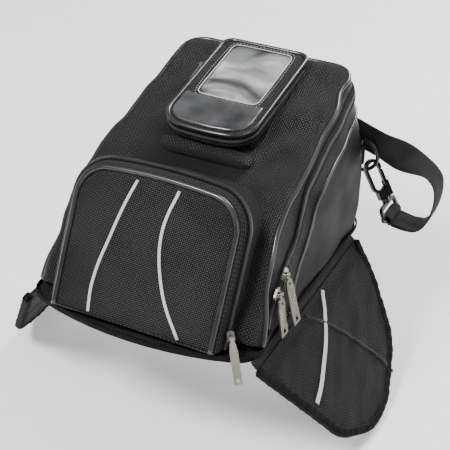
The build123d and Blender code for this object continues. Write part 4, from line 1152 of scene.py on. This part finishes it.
# The strap stands upright along the rear and turns flat towards the hook
turn = smooth_step((strap_run - 172) / 66)[:, None] * pi / 2
rearward = np.array([0, 1.0, 0])
tangents, _, _ = frames_along(strap_line, rearward)
tall = unit(np.cross(tangents, rearward))
tall *= np.sign(tall[:1, 2:])
flat_way = unit(rearward - tangents * tangents[:, 1:2])
across_strap = unit(tall * np.cos(turn) + flat_way * np.sin(turn))
out_way = np.cross(across_strap, tangents)
section = band_section(STRAP_WIDTH, STRAP_THICKNESS, STRAP_SIDES)
ripple = 0.35 * np.sin(strap_run * 0.11)[:, None, None] * np.cos(section[None, :, :1] / STRAP_WIDTH * pi)
rings = strap_line[:, None] + section[None, :, :1] * across_strap[:, None]
rings = rings + (section[None, :, 1:] + ripple) * out_way[:, None]
faces = grid_faces(len(strap_line), STRAP_SIDES, close_columns=True) + cap_faces(len(strap_line), STRAP_SIDES)
uvs = np.stack(np.meshgrid(strap_run, run_of(section), indexing="ij"), axis=-1)
strap = new_object("shoulder_strap", rings, faces, webbing, "base", uvs)
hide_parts("strap_upper", "strap_lower")
fold = [(x, 148, z) for x, z in arc((134.6, -6.1), 5.2, -1.2, 3.9, 26) + [(140, -8.2), (156, -11.3), (166, -10.4)]]
strap_fold = swept(
    "strap_end_fold", fold, band_section(2.2, STRAP_WIDTH, STRAP_SIDES), webbing, "base", up=(0, 1, 0)
)

tab_course = [(57, 149.5), (64, 150.8), (80, 151.1), (95, 151.1)]
tab_course += arc((97, 148), 3.15, pi / 2 - 0.2, -pi / 2, 14) + [(92, 145.3), (84, 147.2), (72, 147.8)]
tab = swept("ring_tab_webbing", at_height(tab_course, 56.0), band_section(2.0, 22, 20), webbing, "base")
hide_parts("ring_tab")
anchor_ways = ((1, 0, 0), (0, 0, 1), (0, 1, 0))
anchor_pad = soft_bar("strap_anchor_patch", (-57, 150.6, 87), (19, 30, 6.5), anchor_ways, webbing, "base", 111)
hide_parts("strap_anchor")

# ---- carried-over hardware

MAGNETS = [f"{side}_flap_magnet_{end}" for side, _ in SIDES for end in ("front", "rear")]
HARDWARE = {
    shaded_nickel: ["main_upper_pull", "main_lower_pull"],
    nickel: ["main_upper_slider", "main_lower_slider", "pocket_slider", "pocket_pull", "phone_slider", "phone_pull"],
    hard_plastic: ["d_ring", "snap_hook", "hook_gate", "swivel_eye", "strap_adjuster"],
    board: ["base_board", *MAGNETS],
}
for material, names in HARDWARE.items():
    for name in names:
        node = frame["nodes"][name]
        node.data.materials.clear()
        node.data.materials.append(material)
        edge = node.modifiers.new("soft_edges", "BEVEL")
        edge.width = 0.0003
        edge.segments = 2
        edge.limit_method = "ANGLE"
        edge.angle_limit = radians(35)

# Raised grip studs on the two long pulls
WALL_LEAN, PULL_TILT = 8.64, -4.0
STUD_RINGS = ((0.68, 1.05), (1.0, 0.85), (1.15, 0.4))
STUD_SIDES = 10
wall_lean, tilt_angle = radians(WALL_LEAN), radians(PULL_TILT)
wall_up = Vector((-sin(wall_lean), 0, cos(wall_lean)))
pin_way = Vector((0, 1, 0)) * cos(tilt_angle) + wall_up * sin(tilt_angle)
for name, lean_angle, pin, length in (
    ("upper", 15.0, (113.72, -71.0, 50.09), 48.0),
    ("lower", 8.64, (115.24, -88.0, 40.09), 41.0),
):
    hung = Vector((cos(wall_lean), 0, sin(wall_lean)))
    hung.rotate(Matrix.Rotation(radians(WALL_LEAN - lean_angle), 3, pin_way))
    ways = (tuple(pin_way), tuple(hung.cross(pin_way)), tuple(hung))
    studs, stud_faces = [], []
    for i in (-1, 0, 1):
        for j in range(-3, 4):
            centre = (i * 3.4, -length / 2 - 1.5 + j * 3.0)
            start = len(studs)
            for rise, spread in STUD_RINGS:
                around = arc(centre, spread, 0, 2 * pi, STUD_SIDES, endpoint=False)
                studs += [(x, y, rise) for x, y in around]
            faces = grid_faces(len(STUD_RINGS), STUD_SIDES, close_columns=True)
            faces += cap_faces(len(STUD_RINGS), STUD_SIDES)[1:]
            stud_faces += [tuple(v + start for v in face) for face in faces]
    verts = local_to_world(pin, ways, studs)
    new_object(f"main_{name}_pull_studs", verts, stud_faces, nickel, f"main_{name}_pull")

# ---- camera, light and floor


def place(name, data, location, back):
    """Puts a camera or lamp in the scene, looking away from the back direction."""
    obj = bpy.data.objects.new(name, data)
    obj.location = location
    obj.rotation_euler = back.to_track_quat("Z", "Y").to_euler()
    scene_objects.link(obj)
    return obj


camera_data = bpy.data.cameras.new("camera")
camera_data.lens = CAMERA_LENS
camera_data.sensor_width = 36
azimuth, elevation = radians(CAMERA_AZIMUTH), radians(CAMERA_ELEVATION)
level = cos(elevation)
back = Vector((sin(azimuth) * level, -cos(azimuth) * level, sin(elevation)))
bpy.context.scene.camera = place("camera", camera_data, CAMERA_TARGET + back * CAMERA_DISTANCE, back)

for name, location, size, power in (
    ("key", (-0.5, -1.1, 1.6), 0.5, 52),
    ("fill", (1.5, -0.5, 0.9), 0.8, 9),
    ("rim", (0.4, 1.3, 1.2), 0.8, 40),
):
    data = bpy.data.lights.new(name, "AREA")
    data.size = size
    data.energy = power
    place(name, data, location, Vector(location) - Vector((0, 0, 0.05)))
world = bpy.data.worlds.new("studio")
world.use_nodes = True
set_inputs(world.node_tree.nodes["Background"], {"Color": (1, 1, 1, 1), "Strength": 0.3})
bpy.context.scene.world = world

FLOOR_HALF = 15000
floor_level = cad_bounds[0][2] * 1000 - 2
floor_material = moulded("studio_floor", grey(0.86), grey(0.9), 0.9, 3.0, 0.0)
floor_shader = floor_material.node_tree.nodes["Principled BSDF"]
set_inputs(floor_shader, {"Emission Color": (1, 1, 1, 1), "Emission Strength": 0.42})
corners = [(x * FLOOR_HALF, y * FLOOR_HALF, floor_level) for x, y in ((-1, -1), (1, -1), (1, 1), (-1, 1))]
ground = new_object("studio_floor", corners, [(0, 1, 2, 3)], floor_material)
